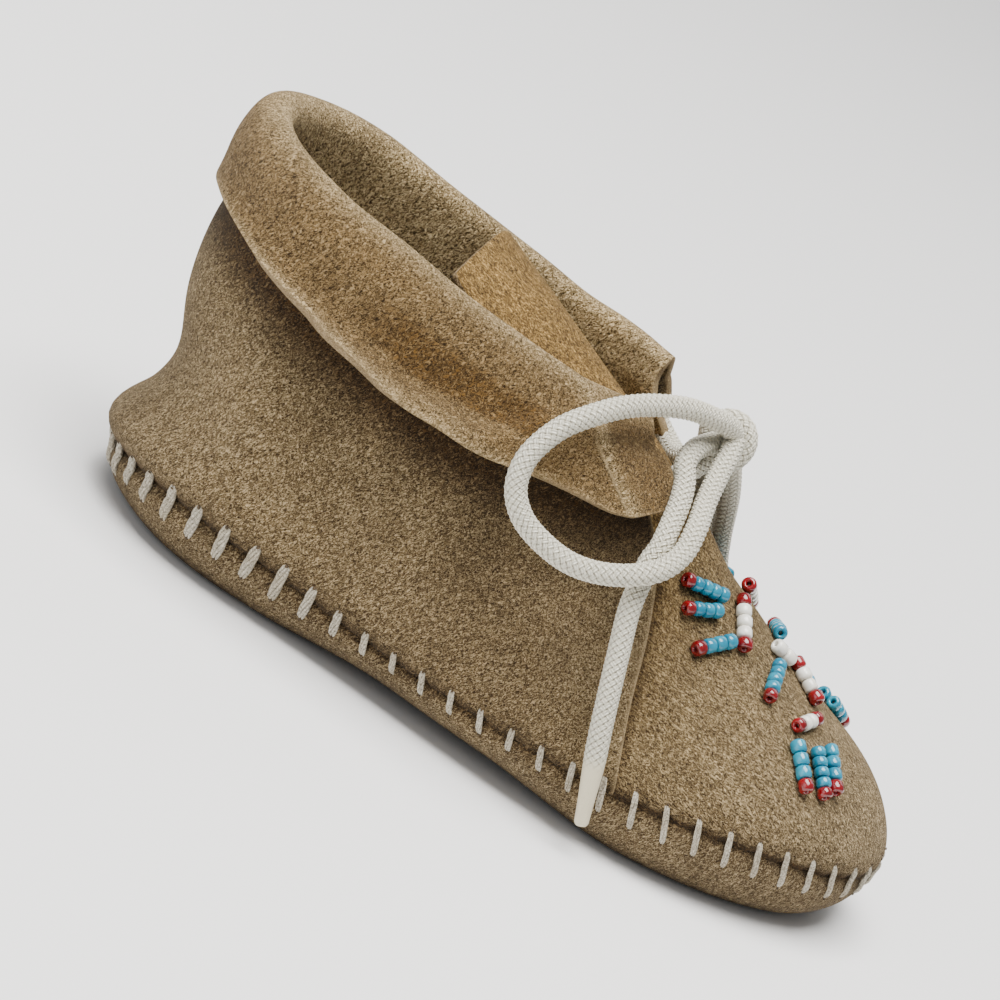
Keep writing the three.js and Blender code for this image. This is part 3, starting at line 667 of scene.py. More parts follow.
# Vamp and tongue: one sheet
vampSections = table("station crown side ridge", (8, 44.6, 0.22, 0.22), (16, 40.3, 0.23, 0.22),
                     (25, 35, 0.25, 0.24), (36, 30.6, 0.36, 0.38), (48, 28, 0.56, 0.5),
                     (63, 27.6, 0.56, 0.54))
tongueSections = table("station ridge half fall", (-30, 60.4, 16.4, 4.6), (-18, 55.7, 15.6, 5.2),
                       (-5, 50.3, 13, 5.8), (2, 47.2, 12, 6.8), (8, 44.5, 11.6, 8.4))
vamp = {"columns": 104, "rows": 72, "wall": 1.3, "tongueBack": -30.0, "throat": 8.0, "split": 0.31,
        "splitAt": 16, "tuck": 1.1, "tuckFade": 4, "roll": 0.9, "corner": 1.6, "cornerIn": 0.035, "arch": 1.6,
        "slant": 0.1, "slantFade": 22, "throatCut": 0.64, "throatFade": 9, "tongueWave": (16, 0.5),
        "wave": (13, 0.35), "waveFade": 6, "blend": (3, 14), "blendRounds": 4, "shade": 0.7,
        "shadeWide": 1.3, "shadeTop": 34,
        "folds": table("ax az bx bz wide depth", (22, -10, 22, 10, 5, 0.6))}
lapEdge = {"low": 24.5, "back": 12.6, "from": 9, "high": 31}
seamPull = {"high": 2.8, "pucker": 0.26, "down": 0.45}
# Near the seam: a band of dirt, and painted shade in the groove
seamDirtShade = {"wide": 4.5, "share": 0.5, "groove": (0.35, 0.8)}


def archPoint(x, t):
    past = max(0.0, (x - foot["ballCentre"]) / toeLong)
    low = upperFoot(x)
    dome = (between(vampSections, "station", "crown", x) - low) * roundEnd(past)
    side = between(vampSections, "station", "side", x)
    ridge = between(vampSections, "station", "ridge", x)
    s = 1 - t
    y = outlineHalf(x) * (s ** 3 + 3 * t * s * s + 3 * t * t * s * ridge)
    z = low + dome * (3 * t * s * s * side + 3 * t * t * s + t ** 3)
    return y, z


def quarterFront(z):  # station of the quarter's front edge at a height
    return lapEdge["low"] - lapEdge["back"] * min(1.0, max(0.0, (z - lapEdge["from"]) / lapEdge["high"]))


def seamRoll(x, y, z, low, roll):  # the edge turns in at the seam and pulls at each stitch
    height = abs(z - low)
    if height > seamPull["high"]:
        return x, y, z
    _, _, nx, ny = outlineFrame(rimShareAt(x))
    near = 1 - height / seamPull["high"]
    depth = roll * near ** 3 + seamPull["pucker"] * near * pucker(x)
    return x - nx * depth, y - math.copysign(ny * depth, y), z - seamPull["down"] * near ** 4


def tongueSpot(x, reach, side):
    near = min(1.0, max(0.0, (x - vamp["tongueBack"]) / vamp["corner"]))
    reach *= 1 - vamp["cornerIn"] + vamp["cornerIn"] * roundEnd(1 - near)
    y = reach * between(tongueSections, "station", "half", x)
    fall = between(tongueSections, "station", "fall", x) * reach ** vamp["arch"]
    z = between(tongueSections, "station", "ridge", x) - fall
    z += unevenness(x, side * y, z, *vamp["tongueWave"])
    back = 1 - fade(x, vamp["tongueBack"], vamp["slantFade"])  # the top edge was cut at a slant
    return toRow(x + vamp["slant"] * side * y * back, side * y, z)


def vampSkin(u, v):
    if u < vamp["split"]:
        x = vamp["tongueBack"] + (vamp["splitAt"] - vamp["tongueBack"]) * u / vamp["split"]
    else:
        low = math.asin((vamp["splitAt"] - foot["ballCentre"]) / toeLong)
        turn = low + (quarterTurn - low) * (u - vamp["split"]) / (1 - vamp["split"])
        x = foot["ballCentre"] + toeLong * math.sin(turn)
    reach = abs(2 * v - 1)
    side = 1 if v > 0.5 else -1
    if x < vamp["throat"]:
        return tongueSpot(x, reach, side)
    cut = vamp["throatCut"] * (1 - fade(x, vamp["throat"], vamp["throatFade"]))
    y, z = archPoint(x, 1 - reach * (1 - cut))
    under = ease((quarterFront(z) - x) / vamp["tuckFade"])
    y = max(0.0, y - vamp["tuck"] * under) * side
    z -= 0.5 * vamp["tuck"] * under * (1 - reach)
    z -= sum(trough(x, y, valley) for valley in vamp["folds"])
    z += unevenness(x, y, z, *vamp["wave"]) * min(1.0, (z - upperFoot(x)) / vamp["waveFade"])
    return toRow(*seamRoll(x, y, z, upperFoot(x), vamp["roll"]))


# Dirt in a band above the seam, and painted shade in the seam's groove
def seamDirtAndShade(spot):
    above = spot.z - upperFoot(spot.x)
    band = seamDirtShade["share"] * (1 - ease(above / seamDirtShade["wide"]))
    return max(band, 1 - fade(above, *seamDirtShade["groove"]))


# Seam dirt and groove shade, and a painted shadow along the quarter's front edge
def vampDirtAndShade(u, v, spot):
    ahead = spot.x - quarterFront(spot.z)  # shade along the quarter's edge
    shade = vamp["shade"] * (1 - ease(ahead / vamp["shadeWide"])) if spot.z < vamp["shadeTop"] else 0.0
    return max(seamDirtAndShade(spot), shade)


vampSheet = faceOut(gridSkin(vamp["columns"], vamp["rows"], vampSkin, soil=vampDirtAndShade), toRow(20, 0, 8))
blendBack, blendFront = vamp["blend"]
throatVerts = [v for v in vampSheet.verts if blendBack < v.co.x * 1000 - foot["shift"] < blendFront]
for _ in range(vamp["blendRounds"]):
    bmesh.ops.smooth_vert(vampSheet, verts=throatVerts, factor=0.5, use_axis_x=True, use_axis_y=True,
                          use_axis_z=True)
vampTree = BVHTree.FromBMesh(vampSheet)
vampPiece = showPiece("vampAndTongue", vampSheet, [suedeVamp, fleshSide, cutEdge],
                      ["upper", "tongue"])
giveWall(vampPiece, vamp["wall"])
print("vamp and tongue made")

# Quarters and cuff: one sheet round the heel, folded outwards over the lace
quarterLevels = table("rise back centre backHalf midHalf front frontHalf",
                      (0, -62, -36, 25, 28.4, 24.5, 31.3), (0.24, -62.2, -37, 25.6, 28.2, 20.4, 27),
                      (0.5, -64.4, -40, 23.2, 24.4, 16.4, 17), (0.76, -65.6, -43, 20.6, 21, 11, 15.2),
                      (1, -63.7, -45.5, 19.2, 19.2, 2.4, 15.2))
collarRun = table("share height crest end first ridgeN ridgeZ curl rimN rimZ ahead",
                  (0, 56, 1.6, 3.7, 10, 3, -9.3, -8, 3, -9.4, 0),
                  (0.1, 55.5, 1.5, 3.7, 11, 3.4, -9.1, -2, 3.4, -9.2, 0),
                  (0.2, 54.7, 1.3, 3.6, 13, 4.2, -9.8, 22, 4.2, -9.9, 0),
                  (0.28, 54, 1.1, 3.5, 15, 5.6, -10.8, 48, 5.6, -10.9, 0),
                  (0.34, 53.3, 0.9, 3.4, 16, 6.8, -11.2, 60, 6.8, -11.3, 0),
                  (0.42, 52.6, 0.7, 3.2, 18, 8.1, -12.1, 68, 8.1, -12.2, 0),
                  (0.5, 51.9, 0.55, 3, 19, 9, -12.1, 74, 9.1, -12.4, 0.2),
                  (0.56, 51.35, 0.5, 3, 20, 9.5, -11.8, 77, 9.7, -12.4, 0.4),
                  (0.62, 50.8, 0.45, 3, 20, 9.7, -11, 78, 9.9, -12.2, 0.6),
                  (0.7, 50.2, 0.45, 3, 21, 9.6, -10, 77, 9.8, -11.3, 1.1),
                  (0.76, 49.7, 0.45, 3, 22, 8.5, -7.5, 68, 9, -10.5, 1.6),
                  (0.82, 49.3, 0.45, 3, 28, 5.9, -3.2, 46, 8.4, -9.9, 2.6),
                  (0.88, 48.9, 0.45, 3, 32, 4.2, -1.9, 34, 7.6, -9.1, 3.6),
                  (0.94, 48.55, 0.45, 3, 32, 4, -1.7, 30, 6.8, -8.1, 4.5),
                  (1, 48.2, 0.45, 3, 32, 3.9, -1.6, 28, 6.2, -5.6, 5.4))
frontCut = table("v near far", (0.2, 0, 0), (0.3, 0, -1), (0.38, -1.6, -2.2), (0.42, -2.6, -2.8),
                 (0.5, -2.6, -2.8), (0.55, -1.4, -3), (0.6, 0, -3.2), (0.7, 2.2, -4), (0.84, 1.4, -5.2),
                 (1, 0, -6.6))
quarter = {"columns": 176, "rows": 68, "wall": 1.3, "roll": 0.8, "lap": 0.75, "lapTop": 0.6, "frontFoot": 24,
           "heelShare": 0.36, "foldAt": 0.42, "flapAt": 0.6, "farRise": 1.5, "farFrom": (0.7, 0.3),
           "crowd": 0.25, "turnMost": 0.6,
           "leanFrom": (0.8, 0.2), "turnIn": 1.05, "farTurn": 0.25, "turnSharp": 5, "creaseHigh": 0.5,
           "creaseWide": 0.6, "creaseDown": (0.1, 0.3), "creaseAhead": (0.6, 0.2), "bendFrom": (0.62, 0.3),
           "folds": table("ax az bx bz wide depth", (-38, 34, -24, 14, 7, 0.9), (-8, 36, -2, 16, 6, 0.7),
                          (-56, 40, -52, 20, 5, 0.6))}
wall = {"calmLow": 0.15, "calmHigh": 0.12, "wave": (15, 0.5), "puff": 2.1, "puffSides": 0.4,
        "puffEnds": (0.15, 0.3), "puffLow": 1.2, "puffHigh": 7, "backEnds": (0.08, 0.26), "overhang": 1.4,
        "overhangAt": (3.7, 3.4), "heelWaist": 2.0, "heelWaistAt": (16, 6.5), "frontIn": 0.8,
        "frontInHigh": (0.75, 0.2), "frontInAhead": (0.8, 0.15)}
fold = {"up": 0.95, "top": 2.4, "topWave": (13, 0.5), "rise": 1.5, "inner": 0.3, "outer": 0.22, "drop": 0.4,
        "handle": 1.9, "flapHandle": 0.45, "curveSteps": 30, "rimSteps": 10, "steps": 48, "soften": 3,
        "outWave": (9, 0.6), "downWave": (11, 0.7)}


def vampHalf(x, z):
    return archPoint(x, whereReached(lambda t: archPoint(x, t)[1], z))[0]


frontLow = upperFoot(quarter["frontFoot"])
for level in quarterLevels:
    height = frontLow + level["rise"] * (collarRun[-1]["height"] - frontLow)
    lapped = vampHalf(level["front"], height) + quarter["lap"]
    level["edgeHalf"] = lapped if level["rise"] < quarter["lapTop"] else level["frontHalf"]


def levelPoint(level, share):
    if share < quarter["heelShare"]:
        angle = share / quarter["heelShare"] * quarterTurn
        x = level["centre"] - (level["centre"] - level["back"]) * math.cos(angle)
        return x, level["backHalf"] * math.sin(angle)
    f = (share - quarter["heelShare"]) / (1 - quarter["heelShare"])
    x = level["centre"] + (level["front"] - level["centre"]) * f
    if level["rise"] == 0:
        return x, outlineHalf(x)
    grow = level["edgeHalf"] - level["backHalf"]
    square = 8 * (level["midHalf"] - level["backHalf"]) - grow
    return x, level["backHalf"] + square * f * f + (grow - square) * f ** 3


def quarterPoint(share, rise):
    reach = abs(share)
    rows = []
    for level in quarterLevels:
        x, y = levelPoint(level, reach)
        rows.append({"rise": level["rise"], "x": x, "y": y})
    x = between(rows, "rise", "x", rise)
    y = between(rows, "rise", "y", rise)
    low = upperFoot(rows[0]["x"])
    top = between(collarRun, "share", "height", reach)
    top += quarter["farRise"] * fade(share, *quarter["farFrom"])  # the far corner stands higher
    return Vector((x, -y if share < 0 else y, low + rise * (top - low)))


def quarterOut(share, rise):
    a = quarterPoint(max(-1.0, share - 0.004), rise)
    b = quarterPoint(min(1.0, share + 0.004), rise)
    return Vector((a.y - b.y, b.x - a.x, 0)).normalized()


def pastCrease(spot):  # distance in front of the collar's slanting crease
    return (spot.x - crease["x"]) * crease["ahead"] - (crease["z"] - spot.z) * crease["down"]


def turnedIn(spot, ridge=None):  # the collar's front corner bends in along the crease
    ahead = pastCrease(spot)
    sharp = quarter["turnSharp"]
    bend = quarter["turnIn"] * math.log(1 + math.exp(min(30.0, ahead * sharp))) / sharp
    if spot.y > 0:
        bend *= quarter["farTurn"]
    if ridge is not None:
        spot += ridge * quarter["creaseHigh"] * bell(ahead, 0, quarter["creaseWide"])
    spot.y -= math.copysign(min(bend, abs(spot.y) * quarter["turnMost"]), spot.y)
    return spot


def frontLean(share, v):  # the front edges lean back at the fold
    if v < frontCut[0]["v"]:
        return 0.0
    side = "near" if share < 0 else "far"
    return between(frontCut, "v", side, v) * fade(abs(share), *quarter["leanFrom"])


flapCuts = {}


def flapCut(reach):  # the flap's section: down from the fold, out to its curled ridge, over it to the rim
    key = round(reach, 5)
    if key not in flapCuts:
        now = {column: between(collarRun, "share", column, reach) for column in collarRun[0]}
        first, curl = math.radians(now["first"]), math.radians(now["curl"])
        end, ridgeN, ridgeZ, drop = now["end"], now["ridgeN"], now["ridgeZ"], fold["drop"]
        handle = fold["flapHandle"] * math.hypot(ridgeN - end, ridgeZ + drop)
        n = (end, end + handle * math.sin(first), ridgeN - handle * math.sin(curl), ridgeN)
        z = (-drop, -drop - handle * math.cos(first), ridgeZ + handle * math.cos(curl), ridgeZ)
        curve = [k / fold["curveSteps"] for k in range(fold["curveSteps"] + 1)]
        line = [Vector((bezier(*n, t), bezier(*z, t), 0)) for t in curve]
        ridge = line[-1]
        rim = Vector((now["rimN"], now["rimZ"], 0))
        line += [ridge.lerp(rim, (k + 1) / fold["rimSteps"]) for k in range(fold["rimSteps"])]
        line, _ = evenSteps(line, fold["steps"])
        flapCuts[key] = (now, softened(line, fold["soften"]))
    return flapCuts[key]


def quarterShare(u):  # columns stand closer at the front corners
    t = 1 - 2 * u
    return t * (1 + quarter["crowd"] - quarter["crowd"] * abs(t))


def flapPart(v):  # 0 at the fold's end, 1 at the rim
    return (v - quarter["flapAt"]) / (1 - quarter["flapAt"])


def wallSpot(share, v):
    reach = abs(share)
    rise = v / quarter["foldAt"]
    spot = quarterPoint(share, rise)
    out = quarterOut(share, rise)
    free = ease(rise / wall["calmLow"]) * ease((1 - rise) / wall["calmHigh"])
    dent = sum(trough(spot.x, spot.z, valley) for valley in quarter["folds"])
    spot -= out * free * (dent - unevenness(*spot, *wall["wave"]))
    above = spot.z - upperFoot(spot.x)
    heel = 1 - fade(reach, *wall["puffEnds"])  # the wall swells over the seam
    puff = wall["puff"] * (wall["puffSides"] + (1 - wall["puffSides"]) * heel)
    spot += out * puff * (1 - math.exp(-above / wall["puffLow"])) * bell(above, 0, wall["puffHigh"])
    back = 1 - fade(reach, *wall["backEnds"])  # the heel overhangs its seam and is pulled in above
    spot += out * back * wall["overhang"] * bell(above, *wall["overhangAt"])
    spot -= out * back * wall["heelWaist"] * bell(above, *wall["heelWaistAt"])
    spot -= out * wall["frontIn"] * fade(rise, *wall["frontInHigh"]) * fade(reach, *wall["frontInAhead"])
    bent = turnedIn(spot.copy())
    spot.y += (bent.y - spot.y) * fade(rise, *quarter["bendFrom"])
    spot.x += frontLean(share, v)
    return toRow(*seamRoll(spot.x, spot.y, spot.z, upperFoot(spot.x), quarter["roll"]))


def foldSpot(share, v):
    out = quarterOut(share, 1)
    spot = quarterPoint(share, 1)
    now, _ = flapCut(abs(share))
    crest, end = now["crest"], now["end"]
    lead = math.radians(now["first"])
    top = fold["top"] + unevenness(spot.x, spot.y, 0, *fold["topWave"])
    t = (v - quarter["foldAt"]) / (quarter["flapAt"] - quarter["foldAt"])
    if t < 0.5:
        n = bezier(0, 0, fold["inner"] * crest, crest, 2 * t)
        z = bezier(0, fold["rise"], top, top, 2 * t)
    else:
        n = bezier(crest, 1.5 * crest + fold["outer"], end - fold["handle"] * math.sin(lead), end, 2 * t - 1)
        z = bezier(top, top, fold["handle"] * math.cos(lead) - fold["drop"], -fold["drop"], 2 * t - 1)
    spot += out * n
    spot.z += fold["up"] + z
    spot = turnedIn(spot)
    spot.x += frontLean(share, v)
    return toRow(*spot)


def flapSpot(share, v):
    out = quarterOut(share, 1)
    spot = quarterPoint(share, 1)
    now, line = flapCut(abs(share))
    q = flapPart(v)
    place = min(len(line) - 1.001, q * (len(line) - 1))
    cut = line[int(place)].lerp(line[int(place) + 1], place % 1)
    spot += out * cut.x
    spot.z += fold["up"] + cut.y
    spot.x += now["ahead"] * q
    spot += out * unevenness(*spot, *fold["outWave"]) * q
    spot.z += unevenness(spot.x, spot.y, 0, *fold["downWave"]) * q
    spot = turnedIn(spot, out * fade(q, *quarter["creaseDown"]) * fade(-share, *quarter["creaseAhead"]))
    spot.x += frontLean(share, v)
    return toRow(*spot)


def quarterSkin(u, v):
    share = quarterShare(u)
    if v < quarter["foldAt"]:
        return wallSpot(share, v)
    if v < quarter["flapAt"]:
        return foldSpot(share, v)
    return flapSpot(share, v)


# Painted shade and seam dirt on the suede: above 0 on the wall's outer side, below 0 on the flap's face
shading = {"underRim": (-12, 9), "side": 0.3, "sideBack": (-26, 24), "sideFront": (6, 10),
           "onto": (-0.3, 0.3), "plain": 0.78, "rimPale": 0.6, "rimFrom": (0.84, 0.12), "rimLine": 0.6,
           "rimLineAt": (0.925, 0.03), "deepAhead": (0.2, 0.36), "deepFrom": (-0.2, 0.5),
           "deepTo": (0.58, 0.26), "corner": (0.8, 0.06), "facet": 0.72, "facetMore": 0.14,
           "facetFrom": (-0.1, 0.6), "rubbed": 0.9, "rubbedFrom": (0.7, 0.1), "rubbedWide": 0.55,
           "creaseAhead": (0.68, 0.08), "creaseDown": (0.12, 0.25), "flapEdge": 0.6, "rimEdge": 0.7}


# On the wall: seam dirt, painted shade in the seam groove and at the sides, and a painted shadow under the
# cuff's rim. On the flap: painted shade on its face, in its hollow and on the front facet, less along the
# rubbed crease
def quarterDirtAndShade(u, v, spot):
    reach = abs(quarterShare(u))
    if v < quarter["foldAt"]:
        rim = quarterPoint(reach, 1).z + fold["up"] + flapCut(reach)[1][-1].y
        front = 1 - fade(spot.x, *shading["sideFront"])
        side = shading["side"] * fade(spot.x, *shading["sideBack"]) * front
        return max(seamDirtAndShade(spot), side, fade(spot.z - rim, *shading["underRim"]))
    q = flapPart(v)
    onto = fade(q, *shading["onto"])
    plain = shading["plain"] * onto * (1 - shading["rimPale"] * fade(q, *shading["rimFrom"]))
    plain = max(plain, shading["rimLine"] * bell(q, *shading["rimLineAt"]))  # a dark line inside the rim
    corner = fade(reach, *shading["corner"])
    deep = fade(reach, *shading["deepAhead"]) * fade(q, *shading["deepFrom"])
    hollow = deep * (1 - fade(q, *shading["deepTo"])) * (1 - corner)
    ahead = pastCrease(spot)
    facet = (shading["facet"] + shading["facetMore"] * fade(ahead, *shading["facetFrom"])) * corner * onto
    rubbed = shading["rubbed"] * fade(reach, *shading["rubbedFrom"]) * bell(ahead, 0, shading["rubbedWide"])
    return -max(hollow, plain, facet) * (1 - rubbed)


def edgeMark(u, v, spot):  # cut edges are rubbed pale
    front = 1 - min(u, 1 - u) * quarter["columns"]
    rim = 1 - (1 - v) * quarter["rows"] / 2
    if v >= quarter["foldAt"]:
        front *= shading["flapEdge"]
    return max(0.0, front, shading["rimEdge"] * rim)


def creaseMark(u, v, spot):
    return fade(-quarterShare(u), *shading["creaseAhead"]) * fade(flapPart(v), *shading["creaseDown"])


quarterSheet = gridSkin(quarter["columns"], quarter["rows"], quarterSkin, soil=quarterDirtAndShade, crease=creaseMark,
                        edge=edgeMark)
quarterSheet = faceOut(quarterSheet, toRow(-20, 0, 10))
quarterTree = BVHTree.FromBMesh(quarterSheet)
quarterPiece = showPiece("quartersAndCuff", quarterSheet, [suedeKhaki, fleshSide, cutEdge],
                         ["upper", "cuff"])
giveWall(quarterPiece, quarter["wall"])
print("quarters and cuff made")

# Sole: flat under heel and ball, turned up to the seam
sole = {"columns": 248, "rows": 30, "wall": 1.4, "flat": 0.4, "round": 8.0, "tuck": 4.0, "roll": 0.9,
        "rollHigh": 3.2, "pucker": 0.3, "up": 0.3, "wave": (12, 0.5), "waveFrom": (0.45, 0.2),
        "heelSwell": 0.3, "heelSwellEnds": (0.12, 0.2), "heelSwellFrom": (0.45, 0.3), "dirt": 0.25,
        "dirtWide": 3, "groove": (0.2, 0.7), "floorDirtAndShade": 0.55, "floorDirtAndShadeHigh": 4}


def turnUpAt(x):
    return sole["round"] + sole["tuck"] * waistAt(x)


def soleSkin(u, v):
    left = u <= 0.5
    share = 2 * u if left else 2 - 2 * u
    px, py, nx, ny = outlineFrame(share)
    turnUp = turnUpAt(px)
    seam = seamAt(px)
    if v < sole["flat"]:
        part = v / sole["flat"]
        x, y = px - nx * turnUp, py - ny * turnUp
        spine = spineAt(x)
        x, y = spine + (x - spine) * part, y * part
        z = lift(x)
    else:
        turn = (1 - (v - sole["flat"]) / (1 - sole["flat"])) * quarterTurn
        inset = turnUp * (1 - math.cos(turn))
        x, y = px - nx * inset, py - ny * inset
        z = seam * (1 - math.sin(turn))
        z += lift(x) * (1 - z / seam)
        swell = unevenness(px, py, 3 * v + (0 if left else 40), *sole["wave"]) * fade(v, *sole["waveFrom"])
        heel = 1 - fade(share, *sole["heelSwellEnds"])
        swell += sole["heelSwell"] * heel * fade(v, *sole["heelSwellFrom"])
        near = max(0.0, 1 - (seam - z) / sole["rollHigh"])
        depth = sole["roll"] * near ** 3 + sole["pucker"] * near * pucker(px) - swell
        x, y = x - nx * depth, y - ny * depth
        z += sole["up"] * near ** 4
    return toRow(x, max(0.0, y) * (1 if left else -1), max(0.0, z))


# Dirt in a band below the seam, painted shade in the seam's groove, and darker towards the floor: dirt and
# painted shade
def soleDirtAndShade(u, v, spot):
    below = seamAt(spot.x) - spot.z
    band = sole["dirt"] * (1 - ease(below / sole["dirtWide"]))
    floor = sole["floorDirtAndShade"] * (1 - ease(spot.z / sole["floorDirtAndShadeHigh"]))
    return max(band, 1 - fade(below, *sole["groove"]), floor)


soleSheet = faceOut(gridSkin(sole["columns"], sole["rows"], soleSkin, soil=soleDirtAndShade), toRow(0, 0, 30))
soleTree = BVHTree.FromBMesh(soleSheet)
solePiece = showPiece("soleTray", soleSheet, [suedeSole, fleshSide, cutEdge], ["sole"])
giveWall(solePiece, sole["wall"])
print("sole made")

# Insole: one flat leather footbed
insole = {"columns": 160, "rows": 16, "inset": 7.0, "tuck": 4.0, "low": 1.8, "thick": 1.6, "edge": 1.25,
          "edgeRound": 0.06, "edgeThin": 0.96}


def insoleSkin(u, v):
    left = u <= 0.5
    px, py, nx, ny = outlineFrame(2 * u if left else 2 - 2 * u)
    inset = insole["inset"] + insole["tuck"] * waistAt(px)
    x, y = px - nx * inset, py - ny * inset
    spine = spineAt(x)
    part = min(1.0, (1 - abs(2 * v - 1)) * insole["edge"])
    x, y = spine + (x - spine) * part, y * part
    half = insole["thick"] / 2 if v > 0.5 else -insole["thick"] / 2
    edge = max(0.0, (part - 1 + insole["edgeRound"]) / insole["edgeRound"])
    z = insole["low"] + lift(x) + insole["thick"] / 2 + half * math.sqrt(1 - edge ** 2 * insole["edgeThin"])
    return toRow(x, y * (1 if left else -1), z)


insoleSheet = gridSkin(insole["columns"], insole["rows"], insoleSkin)
bmesh.ops.recalc_face_normals(insoleSheet, faces=insoleSheet.faces[:])
showPiece("insoleFootbed", insoleSheet, [fleshSide], ["insole"])
print("insole made")

# Thread of six twisted plies over the seam, with a pinhole at each end: a small dark disc, painted shade of
# the stitch hole
thread = {"grain": 3800.0, "dark": (0.14, 0.12, 0.088), "middle": (0.40, 0.36, 0.28),
          "light": (0.70, 0.64, 0.52), "stain": (0.72, 0.66, 0.56), "sides": 8, "flat": 0.6,
          "endThin": 0.3, "thin": 0.82, "thick": 0.25}
pinhole = {"size": 0.34, "spare": 0.1, "narrow": 0.8, "flat": 0.12, "proud": 0.08, "up": 0.25, "down": -0.2,
           "dark": (0.04, 0.027, 0.014), "light": (0.12, 0.08, 0.044)}


def threadFinish():
    finish, tree, shader = newFinish("stitchThread")
    where = objectPlace(tree)
    strand = grain(tree, where, thread["grain"], 2.0, 0.6, 0.4)
    stain = grain(tree, where, 260.0, 2.0, 0.5, 0.2)
    tone = ramp(tree, strand, (0.3, thread["dark"]), (0.5, thread["middle"]), (0.75, thread["light"]))
    stained = ramp(tree, stain, (0.35, thread["stain"]), (0.6, (1, 1, 1)))
    tone = mixColour(tree, "MULTIPLY", 0.5, tone, stained)
    setShader(tree, shader, {"Base Color": tone, "Roughness": 0.72})
    addBump(tree, shader, strand, 0.8, 0.0002)
    return finish


stitchThread = threadFinish()
# Pinholes are flat dark discs: painted shade where the thread goes into the suede
pinholeShade = speckFinish("pinholeShade", 3000.0, pinhole, 1.0)


def tubeInto(bm, path, radius, sides):  # a thin closed tube through the points, in millimetres
    rings, before = [], []
    for i, (spot, sideTop) in enumerate(zip(path, carriedFrames(path))):
        size = radius(i / (len(path) - 1))
        angles = [2 * math.pi * k / sides for k in range(sides)]
        ring = [bm.verts.new(toRow(*ringSpot(spot, sideTop, angle, size))) for angle in angles]
        edges = [bm.edges.new((ring[k], ring[(k + 1) % sides])) for k in range(sides)]
        if before:
            bmesh.ops.bridge_loops(bm, edges=before + edges)
        before = edges
        rings.append(ring)
    bmesh.ops.contextual_create(bm, geom=rings[0])
    bmesh.ops.contextual_create(bm, geom=rings[-1])


def joinInto(whole, single):
    mesh = bpy.data.meshes.new("single")
    single.to_mesh(mesh)
    single.free()
    whole.from_mesh(mesh)
    bpy.data.meshes.remove(mesh)


def onSkin(spot):  # nearest place and outward side on the sole, vamp or quarter
    best = None
    for tree in (soleTree, vampTree, quarterTree):
        place, normal, _, distance = tree.find_nearest(toRow(*spot))
        if place is not None and (best is None or distance < best[2]):
            best = (place, normal, distance)
    return fromRow(best[0]), best[1]


def plyGirth(t):
    return thread["thin"] + thread["thick"] * math.sin(math.pi * t)


dice = random.Random(stitch["seed"])
stitchMesh = bmesh.new()
holeMesh = bmesh.new()
steps = stitch["steps"]
for sideSign in (1, -1):
    for k in range(stitchCount):
        px, py, nx, ny = outlineFrame(whereReached(rimDistanceAt, (k + 0.5) * stitchStep))
        out = Vector((nx, ny * sideSign, 0))
        along = Vector((-ny, nx * sideSign, 0)) * sideSign
        short = ease(waistAt(px) * stitch["waistGain"])
        long = stitch["endLong"] + (stitch["waistLong"] - stitch["endLong"]) * short
        long *= 1 + stitch["uneven"] * (dice.random() - 0.5)
        lean = stitch["stray"] * (dice.random() - 0.5) * 2
        lean += stitch["lean"] * long * fade(px, *stitch["leanFrom"])
        seam = seamAt(px)
        base = Vector((px, py * sideSign, seam))
        path, sides = [], []
        for j in range(steps + 1):
            t = j / steps
            height = long * (stitch["above"] - t)
            inset = turnUpAt(px) * (1 - roundEnd(min(0.0, height) / seam))
            place, normal = onSkin(base - out * inset + along * lean * (t - 0.5) + Vector((0, 0, height)))
            path.append(place + normal * (stitch["proud"] if 0 < j < steps else -stitch["sunk"]))
            sides.append(normal)
        path = softened(path, stitch["bridge"])  # the thread bridges the groove
        slim = 1 - stitch["slim"] * fade(px, *stitch["slimFrom"])
        single = bmesh.new()
        for ply in range(stitch["plies"]):
            twisted = []
            for i, (spot, normal) in enumerate(zip(path, sides)):
                angle = 2 * math.pi * (ply / stitch["plies"] + stitch["turns"] * i / steps)
                wide = stitch["spread"] * slim * (1 - thread["endThin"] * abs(2 * i / steps - 1) ** 4)
                twist = along * wide * math.cos(angle) + normal * thread["flat"] * wide * math.sin(angle)
                twisted.append(spot + twist)
            tubeInto(single, twisted, lambda t: stitch["ply"] * slim * plyGirth(t), thread["sides"])
        joinInto(stitchMesh, single)
        for end, rise in ((path[1], pinhole["up"]), (path[-2], pinhole["down"])):
            place, normal = onSkin(end + Vector((0, 0, rise)))
            turn = normal.to_track_quat("Z", "Y").to_matrix().to_4x4()
            size = (pinhole["size"] + pinhole["spare"] * dice.random()) * slim
            form = Matrix.Diagonal((size * pinhole["narrow"], size, pinhole["flat"], 1))
            at = Matrix.Translation(toRow(*place) + normal * pinhole["proud"] * mm) @ turn @ form
            bmesh.ops.create_icosphere(holeMesh, subdivisions=1, radius=mm, matrix=at)
bmesh.ops.recalc_face_normals(stitchMesh, faces=stitchMesh.faces[:])
showPiece("whipstitches", stitchMesh, [stitchThread])
showPiece("pinholeShades", holeMesh, [pinholeShade])
print("whipstitches made:", 2 * stitchCount)

